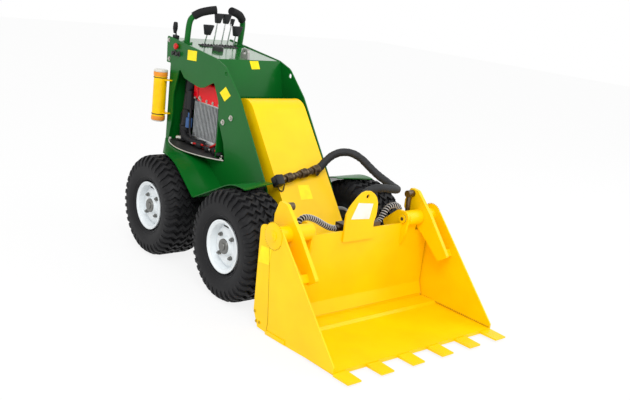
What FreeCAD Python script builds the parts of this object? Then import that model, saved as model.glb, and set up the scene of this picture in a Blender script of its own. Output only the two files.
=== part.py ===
"""Mini skid steer loader with one central lift arm and a clam-opening bucket.

Millimetres, +Z up, the machine faces -Y and its right side is -X. The pieces are
drawn about the middle of the wheelbase and moved along Y when they are saved, so
that the origin is the bottom centre of the whole machine's box.
"""
import FreeCAD
import Part
import math
import os

Vector = FreeCAD.Vector

# Wheels
wheelbase = 610.0
overall_width = 850.0
tyre_diameter = 460.0
tyre_width = 212.0
rim_diameter = 202.0
spindle_radius = 20.0
spindle_clearance = 0.06
motor_radius = 58.0
stud_count = 4
stud_circle = 56.0

# Body shell
wheel_gap = 33.0
body_half_width = overall_width / 2 - tyre_width - wheel_gap
plate = 6.0
body_floor_z = 150.0
cabin_length = 280.0
body_rear_y = wheelbase / 2 + cabin_length
front_reach = 1.0
body_front_y = -wheelbase / 2 - front_reach
bulkhead_y = 149.0
rear_overhang = 45.0
tie_hole_radius = 11.0
fender_inset = 75.0
fender_reach = overall_width / 2 - fender_inset
fender_sheet = 4.0
fender_clearance = 14.0
fender_dip = (34.0, 338.0)
fender_rear = (wheelbase / 2 + 283.0, 475.5)
tray_z = 470.0
tray_bow = 76.0
tray_sheet = 4.0

# Lift arm
arm_pivot = (0.0, 690.0)
arm_slope_deg = 52.2
arm_side_gap = 37.0
arm_half_width = body_half_width - arm_side_gap
arm_sheet = 6.0
arm_head_radius = 85.0
arm_nose_radius = 50.0
arm_boss_length = 24.0
arm_length = 721.0
arm_pivot_pin_radius = 18.0
hitch_pin_radius = 16.0
hitch_sleeve_radius = 46.0
pin_clearance = 0.06

# Tilt cylinder, the lower link of the levelling parallelogram
link_drop = (-4.0, -80.0)
ram_pin_radius = 10.0
tilt_bore = 26.0
tilt_rod = 14.0

# Lift cylinders
lift_base = (100.0, 180.0)
lift_arm_radius = 200.0
lift_side_gap = 48.0
lift_x = arm_half_width - lift_side_gap
lift_bore = 25.0
lift_rod = 15.0

# Bucket
bucket_half_width = overall_width / 2
bucket_sheet = 6.0
blade_y = -644.0
blade_sheet = 8.0
blade_top_z = 365.0
blade_foot_z = 33.0
blade_notch_x = bucket_half_width - 87.0
blade_notch_z = 326.0
clam_pivot = (-650.0, 385.0)
clam_boss_radius = 32.0
clam_pin_radius = 18.0
heel_z = 4.0
lip_y = -1048.0
lip_z = 22.0
lip_sheet = 14.0
tooth_count = 6
tooth_width = 62.0
tooth_length = 78.0
tooth_sheet = 10.0
clam_gap = 5.0
clam_arm_x = bucket_half_width - 73.0
clam_arm_sheet = 16.0
clam_ram_x = clam_arm_x - 30.0
clam_ear_x = clam_arm_x - 96.0
clam_ear_sheet = 12.0
clam_ram_bore = 19.0
clam_ram_rod = 10.0
clam_ram_base = (-612.0, 100.0)
clam_ram_eye = (-600.0, 474.0)

# Engine and controls
engine_half_width = body_half_width - 60.0
engine_front_y = 195.0
engine_rear_y = 400.0
fin_count = 7
handle_tube = 14.0
handle_foot = (body_half_width - 34.0, 500.0, 108.0)
lever_row_y = 458.0
guide_sheet = 3.0
lug_hole_radius = 10.0
grip_radius = 20.0
document_tube_radius = 32.0
document_tube_length = 250.0
seat_gap = 0.3
coupling_row = (319.0, -0.175)
coupling_x = (-95.0, -9.0, 63.0)
coupling_end = 85.0
hose_row_y = -600.0
manifold_x = (-60.0, 130.0)
port_x = 282.0
tilt_eye_half = 26.0

# Lever row: x, stick height, paddle width, paddle height
lever_row = ((-80, 62, 42, 40), (-33, 128, 40, 22), (11, 128, 40, 22), (44, 118, 12, 18), (80, 66, 42, 40))

# Places worked out from the sizes above
axle_z = tyre_diameter / 2
tray_top = tray_z + 8 + seat_gap + tray_sheet
wheel_x = (overall_width - tyre_width) / 2
plate_x = body_half_width - plate
slope = math.radians(arm_slope_deg)
down_arm = (-math.cos(slope), -math.sin(slope))
off_arm = (-math.sin(slope), math.cos(slope))
head_foot = (arm_pivot[0] + arm_head_radius * off_arm[0], arm_pivot[1] + arm_head_radius * off_arm[1])
pin_run = math.sqrt(arm_length ** 2 - (arm_head_radius - arm_nose_radius) ** 2)
hitch = (arm_pivot[0] + pin_run * down_arm[0] + (arm_head_radius - arm_nose_radius) * off_arm[0],
         arm_pivot[1] + pin_run * down_arm[1] + (arm_head_radius - arm_nose_radius) * off_arm[1])
tilt_base = (arm_pivot[0] + link_drop[0], arm_pivot[1] + link_drop[1])
tilt_eye = (hitch[0] + link_drop[0], hitch[1] + link_drop[1])
hitch_angle = math.atan2(hitch[1] - arm_pivot[1], hitch[0] - arm_pivot[0])
lift_eye = (arm_pivot[0] + lift_arm_radius * math.cos(hitch_angle + 0.07),
            arm_pivot[1] + lift_arm_radius * math.sin(hitch_angle + 0.07))
tooth_tip_y = lip_y - tooth_length
rear_reach = body_rear_y + rear_overhang + 10.0
shift_y = (-tooth_tip_y - rear_reach) / 2


def corner_loop(points):
    """Closed Y-Z outline; each point is (y, z) or (y, z, radius of its rounding)."""
    count = len(points)
    corners = []
    for i in range(count):
        here = Vector(0, points[i][0], points[i][1])
        before = Vector(0, points[i - 1][0], points[i - 1][1])
        after = Vector(0, points[(i + 1) % count][0], points[(i + 1) % count][1])
        radius = points[i][2] if len(points[i]) > 2 else 0.0
        if radius <= 0.0:
            corners.append((here, None, here))
            continue
        into = (before - here).normalize()
        out = (after - here).normalize()
        half = into.getAngle(out) / 2
        if half > math.pi / 2 - 0.01:
            corners.append((here, None, here))
            continue
        reach = radius / math.tan(half)
        centre = here + (into + out).normalize() * (radius / math.sin(half))
        middle = centre + (here - centre).normalize() * radius
        corners.append((here + into * reach, middle, here + out * reach))
    edges = []
    for i in range(count):
        start, middle, end = corners[i]
        if middle is not None:
            edges.append(Part.Arc(start, middle, end).toShape())
        following = corners[(i + 1) % count][0]
        if (following - end).Length > 1e-6:
            edges.append(Part.LineSegment(end, following).toShape())
    return Part.Wire(edges)


def slab(points, x_low, x_high):
    """Solid between two X planes with the given Y-Z outline."""
    face = Part.Face(corner_loop(points))
    face.translate(Vector(x_low, 0, 0))
    return face.extrude(Vector(x_high - x_low, 0, 0))


def sheet_outline(points, thickness):
    """Outline of a folded sheet whose middle line runs through the points."""
    sides = []
    count = len(points)
    for side in (1, -1):
        row = []
        for i in range(count):
            here = Vector(points[i][0], points[i][1], 0)
            radius = points[i][2] if len(points[i]) > 2 else 0.0
            steps = []
            if i > 0:
                steps.append((here - Vector(points[i - 1][0], points[i - 1][1], 0)).normalize())
            if i < count - 1:
                steps.append((Vector(points[i + 1][0], points[i + 1][1], 0) - here).normalize())
            normals = [Vector(-s.y, s.x, 0) for s in steps]
            if len(normals) == 1:
                move = normals[0]
                turn = 0.0
            else:
                move = (normals[0] + normals[1]) * (1 / (1 + normals[0].dot(normals[1])))
                turn = steps[0].cross(steps[1]).z
            shift = side * thickness / 2
            radius = max(radius - math.copysign(shift, shift * turn), 0.2) if radius > 0 and turn else 0.0
            row.append((here.x + move.x * shift, here.y + move.y * shift, radius))
        sides.append(row)
    return sides[0] + sides[1][::-1]


def folded_sheet(points, thickness, x_low, x_high):
    """Folded sheet metal: a Y-Z path with bend radii, drawn out along X."""
    return slab(sheet_outline(points, thickness), x_low, x_high)


def block(x_low, x_high, y_low, y_high, z_low, z_high):
    return Part.makeBox(x_high - x_low, y_high - y_low, z_high - z_low, Vector(x_low, y_low, z_low))


def rod_x(centre, radius, x_low, x_high):
    """Cylinder along X about a (y, z) centre."""
    return Part.makeCylinder(radius, x_high - x_low, Vector(x_low, centre[0], centre[1]), Vector(1, 0, 0))


def rod_between(start, end, radius):
    start = Vector(*start)
    end = Vector(*end)
    return Part.makeCylinder(radius, (end - start).Length, start, end - start)


def plan_prism(points, z_low, z_high):
    """Upright prism over a plan outline of (x, y) corners."""
    corners = [Vector(x, y, z_low) for x, y in points]
    return Part.Face(Part.makePolygon(corners + corners[:1])).extrude(Vector(0, 0, z_high - z_low))


def joined(shapes):
    return shapes[0].multiFuse(shapes[1:]).removeSplitter() if len(shapes) > 1 else shapes[0]


def mirrored(shape):
    return shape.mirror(Vector(0, 0, 0), Vector(1, 0, 0))


def both_sides(shape):
    return [shape, mirrored(shape)]


def turned(shape, centre, degrees):
    """Turned about an X axis through a (y, z) centre."""
    copy = shape.copy()
    copy.rotate(Vector(0, centre[0], centre[1]), Vector(1, 0, 0), degrees)
    return copy


def save(name, shapes):
    """Write one node's solids as one STEP file, moved to the machine's origin."""
    os.makedirs("parts", exist_ok=True)
    solids = []
    for shape in shapes if isinstance(shapes, (list, tuple)) else [shapes]:
        for solid in shape.Solids:
            copy = solid.copy()
            copy.translate(Vector(0, shift_y, 0))
            solids.append(copy)
    result = solids[0] if len(solids) == 1 else Part.makeCompound(solids)
    result.exportStep("parts/" + name + ".step")
    print(name, len(solids), "solids")


def revolved(points, side, y):
    """Turn an (outward, radius) outline about a wheel's axle; side is -1 right, 1 left."""
    corners = [Vector(side * (wheel_x + out), y, axle_z + radius) for out, radius in points]
    face = Part.Face(Part.makePolygon(corners + corners[:1]))
    return face.revolve(Vector(0, y, axle_z), Vector(1, 0, 0), 360)


def tyre(side, y):
    half = tyre_width / 2
    crown = tyre_diameter / 2
    bead = rim_diameter / 2 + seat_gap
    outline = [(-70, bead), (-half + 8, bead + 22), (-half, crown * 0.72), (-half + 6, crown * 0.9),
               (-half + 22, crown * 0.97), (-30, crown), (30, crown), (half - 22, crown * 0.97),
               (half - 6, crown * 0.9), (half, crown * 0.72), (half - 8, bead + 22), (70, bead),
               (60, bead + 8), (half - 22, bead + 34), (half - 20, crown * 0.84), (0, crown - 30),
               (-half + 20, crown * 0.84), (-half + 22, bead + 34), (-60, bead + 8)]
    return revolved(outline, side, y)


def rim(side, y):
    """Dished steel disc wheel with its hub, studs and bore."""
    edge = rim_diameter / 2
    hub_bore = spindle_radius + spindle_clearance
    outline = [(10, hub_bore), (10, 34), (56, 34), (62, 46), (62, 68), (44, edge - 7), (-84, edge - 7),
               (-90, edge + 8), (-86, edge + 8), (-79, edge), (79, edge), (86, edge + 8),
               (90, edge + 8), (84, edge - 7), (56, edge - 7), (68, 70), (68, 44), (74, 34),
               (80, 34), (80, hub_bore)]
    wheel = revolved(outline, side, y)
    for i in range(stud_count):
        angle = math.radians(45 + 360 * i / stud_count)
        centre = (y + stud_circle * math.cos(angle), axle_z + stud_circle * math.sin(angle))
        inner = side * (wheel_x + 66)
        outer = side * (wheel_x + 80)
        wheel = wheel.fuse(rod_x(centre, 8, min(inner, outer), max(inner, outer)))
    return wheel


def motors():
    """Wheel motors bolted to the side plates, each with the spindle its wheel turns on."""
    solids = []
    for y in (-wheelbase / 2, wheelbase / 2):
        start = body_half_width + seat_gap
        body = Part.makeCylinder(motor_radius, 72, Vector(start, y, axle_z), Vector(1, 0, 0))
        neck = Part.makeCylinder(motor_radius * 0.72, 120, Vector(start, y, axle_z), Vector(1, 0, 0))
        spindle = Part.makeCylinder(spindle_radius, wheel_x + 74 - start, Vector(start, y, axle_z),
                                    Vector(1, 0, 0))
        one = joined([body, neck, spindle])
        solids += both_sides(one)
    return solids


def side_plate_outline():
    """Side plate: sloped top, rounded brow, front edge beside the lift arm."""
    top_rear = (body_rear_y + rear_overhang, 970)
    return [(body_rear_y, body_floor_z, 20), (body_rear_y, 845, 6), (body_rear_y + rear_overhang - 8, 845, 6),
            top_rear + (10,), (198, 920, 60), (112, 893, 70), (-8, 782, 60), (body_front_y + 51, 450, 60),
            (body_front_y, 349, 30), (body_front_y, body_floor_z, 20)]


def engine_opening_outline():
    return [(500, 832, 12), (452, 792, 34), (300, 766, 120), (196, 812, 14), (150, 735, 60),
            (136, 650, 60), (84, 560, 40), (62, tray_z + 8, 8), (560, tray_z + 8, 6), (536, 590, 60),
            (540, 700, 80)]


def side_plate(side):
    sheet = slab(side_plate_outline(), plate_x, body_half_width)
    sheet = sheet.cut(slab(engine_opening_outline(), plate_x - 5, body_half_width + 5))
    sheet = sheet.cut(rod_x((106, 862), tie_hole_radius, plate_x - 5, body_half_width + 5))
    return sheet if side > 0 else mirrored(sheet)


def arch_point(y, degrees, radius):
    """Point round an axle, at an angle forward of straight up."""
    angle = math.radians(degrees)
    return (y - radius * math.sin(angle), axle_z + radius * math.cos(angle))


def arch_corner(y, start, end, over):
    """Corner that, rounded by the arch's own radius, gives its arc between two angles."""
    radius = over / math.cos(math.radians(end - start) / 2)
    return arch_point(y, (start + end) / 2, radius) + (over,)


def tangent_angle(axle_y, radius):
    """Angle forward of straight up where a line from the dip touches a circle about an axle."""
    reach_y = axle_y - fender_dip[0]
    reach_z = fender_dip[1] - axle_z
    swing = math.degrees(math.acos(radius / math.hypot(reach_y, reach_z)))
    toward = math.degrees(math.atan2(reach_y, reach_z))
    return toward - math.copysign(swing, toward)


def fender_path():
    """Middle line of the mudguard sheet: arched over both wheels, dipping between them."""
    over = tyre_diameter / 2 + fender_clearance
    axle = wheelbase / 2
    return [fender_rear, arch_corner(axle, 0, tangent_angle(axle, over), over), fender_dip + (16,),
            arch_corner(-axle, tangent_angle(-axle, over), 9, over), arch_point(-axle, 9, over)]


def fender(side):
    """Mudguard whose rear corner is cut off slantwise and whose front edge runs back inward."""
    inner = body_half_width + seat_gap
    sheet = folded_sheet(fender_path(), fender_sheet, inner, fender_reach)
    rear = plan_prism([(inner, fender_rear[0]), (fender_reach + 5, wheelbase / 2 - 5), (fender_reach + 5, fender_rear[0] + 32),
                       (inner, fender_rear[0] + 32)], 300, 600)
    nose = -wheelbase / 2
    front = plan_prism([(inner, nose + 5), (fender_reach + 5, nose - 43), (fender_reach + 5, nose - 95),
                        (inner, nose - 95)], 300, 600)
    sheet = sheet.cut(rear).cut(front)
    return sheet if side > 0 else mirrored(sheet)


def hood_panel():
    """Panel between the plates: down from the brow, then the bulkhead behind the arm."""
    path = [(192, 917), (bulkhead_y, 757, 20), (bulkhead_y, body_floor_z + plate)]
    return folded_sheet(path, plate, -plate_x + seat_gap, plate_x - seat_gap)


def control_panel():
    return folded_sheet(panel_ends(), plate, -plate_x + seat_gap, plate_x - seat_gap)


def rear_panel():
    path = [(body_rear_y + rear_overhang - 12, 950), (body_rear_y + rear_overhang - 20, 858, 8),
            (body_rear_y - 12, 852, 8), (body_rear_y - 12, body_floor_z + plate)]
    return folded_sheet(path, plate, -plate_x + seat_gap, plate_x - seat_gap)


def belly_pan():
    return block(-plate_x + seat_gap, plate_x - seat_gap, body_front_y + 6, body_rear_y - 20, body_floor_z - 4,
                 body_floor_z + 2)


def engine_tray():
    """Flat tray under the engine whose worn edge bows out through each side opening."""
    front = 74.0
    rear = 546.0
    edge = plate_x - 1
    right = [Vector(edge, rear, 0), Vector(body_half_width + tray_bow, (front + rear) / 2, 0), Vector(edge, front, 0)]
    left = [Vector(-v.x, v.y, 0) for v in right]
    outline = Part.Wire([Part.LineSegment(left[0], right[0]).toShape(), Part.Arc(*right).toShape(),
                         Part.LineSegment(right[2], left[2]).toShape(), Part.Arc(*left[::-1]).toShape()])
    tray = Part.Face(outline).extrude(Vector(0, 0, tray_sheet))
    tray.translate(Vector(0, 0, tray_top - tray_sheet))
    arm_bay = block(-plate_x, plate_x, 0, bulkhead_y + plate / 2 + seat_gap, tray_z, tray_z + 30)
    return tray.cut(arm_bay)


def cross_member():
    """Front tie plate low between the side plates."""
    reach = plate_x - seat_gap
    y = body_front_y + 36
    return folded_sheet([(y, body_floor_z + 8), (y, 205, 20), (y + 45, 215)], plate, -reach, reach)


def tilt_lug():
    """Bracket from the bulkhead that holds the tilt cylinder's base."""
    bulkhead = bulkhead_y - plate / 2 - seat_gap
    cheek = [(bulkhead, tilt_base[1] - 50), (bulkhead, tilt_base[1] + 40), (tilt_base[0], tilt_base[1] + 26, 20),
             (tilt_base[0] - 26, tilt_base[1], 20), (tilt_base[0], tilt_base[1] - 28, 20)]
    gap = tilt_bore + 6
    right = slab(cheek, -gap - 10, -gap)
    pin = rod_x(tilt_base, ram_pin_radius, -gap - 10, gap + 10)
    return joined([right, mirrored(right), pin])


def lift_lugs():
    """Low brackets on the belly that hold the two lift cylinders' bases."""
    y, z = lift_base
    base = body_floor_z + 2 + seat_gap
    cheek = [(y - 40, base), (y - 20, z + 26, 22), (y + 20, z + 26, 22), (y + 40, base)]
    solids = []
    for x in (-lift_x, lift_x):
        gap = lift_bore + 5
        left = slab(cheek, x - gap - 8, x - gap)
        right = slab(cheek, x + gap, x + gap + 8)
        solids.append(joined([left, right, rod_x(lift_base, ram_pin_radius, x - gap - 8, x + gap + 8)]))
    return solids


def arm_pins():
    """Two stub pins through the side plates that the lift arm turns on."""
    stub = rod_x(arm_pivot, arm_pivot_pin_radius, arm_half_width - 22, plate_x - seat_gap)
    flange = rod_x(arm_pivot, arm_pivot_pin_radius + 14, arm_half_width + 12, plate_x - seat_gap)
    return both_sides(joined([stub, flange]))


def along(distance, depth):
    """Point on the arm: distance down its front face, depth behind that face."""
    return (head_foot[0] + distance * down_arm[0] - depth * off_arm[0],
            head_foot[1] + distance * down_arm[1] - depth * off_arm[1])


def lift_arm():
    """Open-backed folded channel with a rounded head and a nose for the hitch pin."""
    run = pin_run
    outer = slab([along(0, 0), along(run, 0), along(run, 2 * arm_nose_radius), along(0, 2 * arm_head_radius)],
                 -arm_half_width, arm_half_width)
    head = rod_x(arm_pivot, arm_head_radius, -arm_half_width, arm_half_width)
    nose = rod_x(hitch, arm_nose_radius, -arm_half_width, arm_half_width)
    body = joined([outer, head, nose])
    inner_x = arm_half_width - arm_sheet
    inner_head = rod_x(arm_pivot, arm_head_radius - arm_sheet, -inner_x, inner_x)
    inner = slab([along(0, arm_sheet), along(run + 200, arm_sheet), along(run + 200, 400), along(0, 400)],
                 -inner_x, inner_x)
    back = slab([(arm_pivot[0], arm_pivot[1] + 200), (arm_pivot[0] + 300, arm_pivot[1] + 200),
                 (arm_pivot[0] + 300, arm_pivot[1] - 500), (arm_pivot[0], arm_pivot[1] - 500)],
                -inner_x, inner_x)
    body = body.cut(joined([inner_head, inner]))
    body = body.cut(back)
    nose_gap = slab([along(run - 100, -20), along(run + 120, -20), along(run + 120, 300), along(run - 100, 300)],
                    -inner_x, inner_x)
    body = body.cut(nose_gap)
    bosses = []
    for centre, radius in ((arm_pivot, 34), (hitch, 30)):
        boss = rod_x(centre, radius, inner_x - arm_boss_length, inner_x)
        bosses += both_sides(boss)
    body = joined([body] + bosses)
    pivot_hole = rod_x(arm_pivot, arm_pivot_pin_radius + pin_clearance, -arm_half_width - 5, arm_half_width + 5)
    hitch_hole = rod_x(hitch, hitch_pin_radius + pin_clearance, -arm_half_width - 5, arm_half_width + 5)
    return body.cut(joined([pivot_hole, hitch_hole]))


def hitch_sleeves():
    """Heavy spacer sleeves on the hitch pin, between the arm's bosses and the bucket's middle plates."""
    start = tilt_eye_half + 10 + seat_gap
    end = arm_half_width - arm_sheet - arm_boss_length - seat_gap
    sleeve = rod_x(hitch, hitch_sleeve_radius, start, end)
    return both_sides(sleeve.cut(rod_x(hitch, hitch_pin_radius + pin_clearance, start - 5, end + 5)))


def ram(base, eye, bore, rod, x, closed, start, base_half, eye_span):
    """Barrel and rod of a cylinder between two (y, z) eyes, in the plane X = x.

    closed is how far the barrel reaches from its eye, start where the rod begins inside it.
    """
    length = math.hypot(eye[0] - base[0], eye[1] - base[1])
    uy = (eye[0] - base[0]) / length
    uz = (eye[1] - base[1]) / length

    def at(distance):
        return (x, base[0] + uy * distance, base[1] + uz * distance)

    barrel = joined([rod_between(at(bore * 0.8), at(closed), bore),
                     rod_x(base, bore * 0.95, x - base_half, x + base_half)])
    barrel = barrel.cut(rod_x(base, ram_pin_radius + pin_clearance, x - 200, x + 200))
    barrel = barrel.cut(rod_between(at(bore * 2), at(closed + 5), rod + seat_gap))
    shaft = joined([rod_between(at(start), at(length - rod), rod), rod_x(eye, rod * 1.5, *eye_span)])
    return barrel, shaft


def hitch_plates():
    """Plates on the blade's back that hang the bucket on the hitch pin."""
    face_y = blade_y
    top = hitch[1] + 120
    outline = [(face_y, heel_z + 40), (face_y, top), (hitch[0] - 30, hitch[1] + 36, 30),
               (hitch[0] + 36, hitch[1] + 36, 30), (hitch[0] + 36, hitch[1] - 36, 30), (tilt_eye[0] - 50, 40, 20)]
    inner = [(face_y, heel_z + 40), (face_y, top - 40), (hitch[0] - 30, hitch[1] + 36, 30),
             (hitch[0] + 36, hitch[1] + 36, 30), (tilt_eye[0] + 36, tilt_eye[1] - 26, 26),
             (tilt_eye[0] - 40, tilt_eye[1] - 26, 20)]
    outer = slab(outline, arm_half_width + 6, arm_half_width + 18)
    centre = slab(inner, tilt_eye_half, tilt_eye_half + 10)
    return both_sides(outer) + both_sides(centre)


def bucket_back():
    """Dozer blade with its hitch plates, ram brackets and clam pivot bosses."""
    half = bucket_half_width - bucket_sheet - clam_gap
    sheet = folded_sheet([(blade_y, blade_top_z), (blade_y, 84, 20), (blade_y - 20, blade_foot_z)],
                         blade_sheet, -half, half)
    for notch in both_sides(block(blade_notch_x, half + 5, blade_y - 20, blade_y + 20, blade_notch_z, 400)):
        sheet = sheet.cut(notch)
    pivot_y, pivot_z = clam_pivot
    ear = [(pivot_y - 32, pivot_z + 32, 27), (pivot_y + 34, pivot_z + 32, 27), (pivot_y + 116, pivot_z - 36, 14),
           (pivot_y + 100, pivot_z - 62, 14), (blade_y, blade_top_z - 110), (pivot_y - 20, pivot_z - 60, 20)]
    ear_inner = clam_ear_x - clam_ear_sheet / 2
    ear_outer = clam_ear_x + clam_ear_sheet / 2
    boss = rod_x(clam_pivot, clam_boss_radius, ear_outer, clam_arm_x - clam_arm_sheet / 2 - 1)
    body = joined([sheet] + hitch_plates() + clam_lugs() + both_sides(slab(ear, ear_inner, ear_outer)) + both_sides(boss))
    return body.cut(joined([rod_x(clam_pivot, clam_pin_radius + pin_clearance, -half, half),
                            rod_x(hitch, hitch_pin_radius + pin_clearance, -200, 200)]))


def bucket_ports():
    """Oil ports on the blade's back: a manifold in the middle and an elbow at each side."""
    face_y = blade_y + blade_sheet / 2 + seat_gap
    middle = block(manifold_x[0], manifold_x[1], face_y, hose_row_y + 24, 342, 382)
    side = block(port_x - 16, port_x + 16, face_y, hose_row_y + 20, 304, 348)
    return [middle] + both_sides(side)


def eye_plate():
    """Shouldered lifting-eye plate welded to the front of the blade's top edge."""
    y = blade_y - blade_sheet / 2 - seat_gap
    outline = [(-82, 322), (82, 322), (82, 400, 20), (46, 480, 30), (40, 518, 30), (-10, 518, 36), (-82, 400, 20)]
    solid = slab(outline, 0, 8)
    solid.rotate(Vector(0, 0, 0), Vector(0, 0, 1), -90)
    solid.translate(Vector(0, y, 0))
    hole = Part.makeCylinder(9, 40, Vector(18, y - 20, 494), Vector(0, 1, 0))
    return solid.cut(hole)


def clam_shell():
    """Opening front of the bucket: side plates, floor and rear wear strip."""
    outer = bucket_half_width
    inner = bucket_half_width - bucket_sheet
    rear_y = -576.0
    side = [(rear_y + 2, 70), (rear_y - 30, heel_z + 6), (-760, heel_z), (lip_y, lip_z - 4), (lip_y, lip_z + 16, 8),
            (clam_pivot[0] - 40, clam_pivot[1] + 36, 34), (-568, 410, 24)]
    solids = both_sides(slab(side, inner, outer))
    floor_rear = blade_y - 24
    floor = slab([(floor_rear, heel_z), (lip_y, lip_z - lip_sheet), (lip_y, lip_z), (floor_rear - 90, heel_z + 14),
                  (floor_rear - 80, heel_z + 24), (floor_rear, heel_z + 20)], -inner, inner)
    return joined(solids + [floor])


def teeth():
    solids = []
    pitch = (2 * bucket_half_width - tooth_width) / (tooth_count - 1)
    for i in range(tooth_count):
        x = -bucket_half_width + i * pitch
        top = lip_z - 4
        blade = slab([(lip_y - seat_gap, top - tooth_sheet), (lip_y - seat_gap, top),
                      (tooth_tip_y, top - 2), (tooth_tip_y, top - 8)], x, x + tooth_width)
        solids.append(blade)
    return solids


def clam_arms():
    """Curved lever plates inside the clam's sides, from the ram eye past the pivot."""
    y, z = clam_pivot
    outline = [(clam_ram_eye[0] - 26, clam_ram_eye[1] + 18, 18), (clam_ram_eye[0] + 16, clam_ram_eye[1] + 22, 12),
               (clam_ram_eye[0] + 40, clam_ram_eye[1] - 36, 14), (clam_ram_eye[0] + 40, clam_ram_eye[1] - 70, 16),
               (y + 46, z - 22, 26), (y - 30, z - 64, 60), (y - 140, z - 153, 10), (y - 186, z - 123, 10),
               (y - 62, z + 24, 60)]
    half = clam_arm_sheet / 2
    plate_solid = slab(outline, clam_arm_x - half, clam_arm_x + half)
    web = rod_x(clam_pivot, clam_boss_radius, clam_arm_x + half, bucket_half_width - bucket_sheet - seat_gap)
    foot = slab([(y - 150, z - 135), (y - 136, z - 149), (y - 120, z - 123), (y - 134, z - 109)], clam_arm_x + half,
                bucket_half_width - bucket_sheet - seat_gap)
    one = joined([plate_solid, web, foot])
    one = one.cut(rod_x(clam_pivot, clam_pin_radius + pin_clearance, 0, 500))
    return both_sides(one)


def clam_pins():
    return both_sides(rod_x(clam_pivot, clam_pin_radius, clam_ear_x - 10, clam_arm_x + 40))


def clam_lugs():
    """Small brackets low on the blade's back that hold the clam rams' bases."""
    face_y = blade_y
    y, z = clam_ram_base
    cheek = [(face_y, z - 30), (face_y, z + 30), (y, z + 16, 14), (y + 15, z, 12), (y, z - 16, 14)]
    gap = clam_ram_bore + 3
    left = slab(cheek, clam_ram_x - gap - 6, clam_ram_x - gap)
    right = slab(cheek, clam_ram_x + gap, clam_ram_x + gap + 6)
    pin = rod_x(clam_ram_base, ram_pin_radius, clam_ram_x - gap - 6, clam_ram_x + gap + 6)
    return both_sides(joined([left, right, pin]))


def engine_block():
    half = engine_half_width
    case = block(-half, half, engine_front_y, engine_rear_y, tray_top + seat_gap, 600)
    core = block(-half + 14, half - 14, engine_front_y + 14, engine_rear_y - 14, 600, 696)
    pieces = [case, core]
    pitch = 96.0 / fin_count
    for i in range(fin_count):
        z = 600 + pitch * (i + 0.5)
        pieces.append(block(-half, half, engine_front_y, engine_rear_y, z - 2, z + 2))
    return joined(pieces)


def engine_cover():
    cover = block(-engine_half_width - 16, engine_half_width + 16, engine_front_y - 6, engine_rear_y - 10,
                  696 + seat_gap, 790)
    return cover.makeFillet(14, [edge for edge in cover.Edges if edge.BoundBox.ZMin > 789])


def fuel_tank():
    rear = body_rear_y - 12 - plate / 2 - seat_gap
    half = body_half_width - 70
    tank = block(-half, half, rear - 130, rear, 640, 840)
    return tank.makeChamfer(16, tank.Edges)


def muffler():
    can = Part.makeCylinder(48, 150, Vector(-75, 470, 545), Vector(1, 0, 0))
    start = engine_rear_y + seat_gap
    pipe = Part.makeCylinder(14, 460 - start, Vector(0, start, 545), Vector(0, 1, 0))
    return joined([can, pipe])


def panel_ends():
    """Front and rear ends of the control panel's middle line."""
    return (200.0, 914.0), (body_rear_y + rear_overhang - 14, 960.0)


def on_panel(shape, x, y):
    """Seat a piece that was drawn on the plane Z = 0 on the sloping control panel."""
    front, rear = panel_ends()
    angle = math.atan2(rear[1] - front[1], rear[0] - front[0])
    lift = (plate / 2 + seat_gap) / math.cos(angle)
    height = front[1] + math.tan(angle) * (y - front[0]) + lift
    copy = shape.copy()
    copy.rotate(Vector(0, 0, 0), Vector(1, 0, 0), math.degrees(angle))
    copy.translate(Vector(x, y, height))
    return copy


def grab_handle():
    """Bent tube post on its flange, leaning in to carry a foam grip."""
    x, y, top = handle_foot
    flange = Part.makeCylinder(26, 5)
    post = rod_between((0, 0, 2), (0, 0, top), handle_tube)
    knee = Part.makeSphere(handle_tube, Vector(0, 0, top))
    end = Vector(-40, -26, top + 50)
    bend = rod_between((0, 0, top), end, handle_tube)
    return on_panel(joined([flange, post, knee, bend]), x, y)


def grab_grip():
    x, y, top = handle_foot
    end = Vector(-40, -26, top + 50)
    grip = rod_between(end, (end.x - 66, end.y - 12, end.z + 14), grip_radius)
    bend = rod_between((0, 0, top), end, handle_tube + seat_gap)
    return on_panel(grip.cut(bend), x, y)


def control_levers():
    """Lever row: low paddles outside, tall paddles and a thin lever between them."""
    solids = []
    for place, height, width, knob in lever_row:
        rod = rod_between((0, 0, guide_sheet + seat_gap + 1), (0, -12, height), 4)
        low = width * 0.41
        high = width * 0.5
        top = height + knob
        side = [(-low, height - 4), (low, height - 4), (high, top - 5), (high - 4, top), (4 - high, top), (-high, top - 5)]
        paddle = Part.Face(Part.makePolygon([Vector(x, 0, z) for x, z in side + side[:1]]))
        paddle = paddle.extrude(Vector(0, -26, 0))
        solids.append(on_panel(joined([rod, paddle]), place, lever_row_y))
    return solids


def lever_guide():
    guide = on_panel(block(-100, 100, -22, 22, 0, guide_sheet), 0, lever_row_y)
    cap = on_panel(Part.makeCylinder(26, 18), -60, 370)
    return [guide, cap]


def lifting_lug():
    y, eye_z = 232.0, 26.0
    lug = slab([(-30, 0), (-20, 44, 18), (20, 44, 18), (30, 0)], -6, 6)
    return on_panel(lug.cut(rod_x((0, eye_z), lug_hole_radius, -20, 20)), 0, y)


def document_tube():
    y = body_rear_y + 20
    x = -(body_half_width + document_tube_radius + 6)
    tube = Part.makeCylinder(document_tube_radius, document_tube_length, Vector(x, y, 560))
    caps = [Part.makeCylinder(document_tube_radius + 2, 16, Vector(x, y, 560)),
            Part.makeCylinder(document_tube_radius + 2, 16, Vector(x, y, 560 + document_tube_length - 16))]
    bracket = block(x, -body_half_width - seat_gap, y - 60, y - 20, 600, 606)
    upper = block(x, -body_half_width - seat_gap, y - 60, y - 20, 760, 766)
    return joined([tube] + caps + [bracket, upper])


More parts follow.
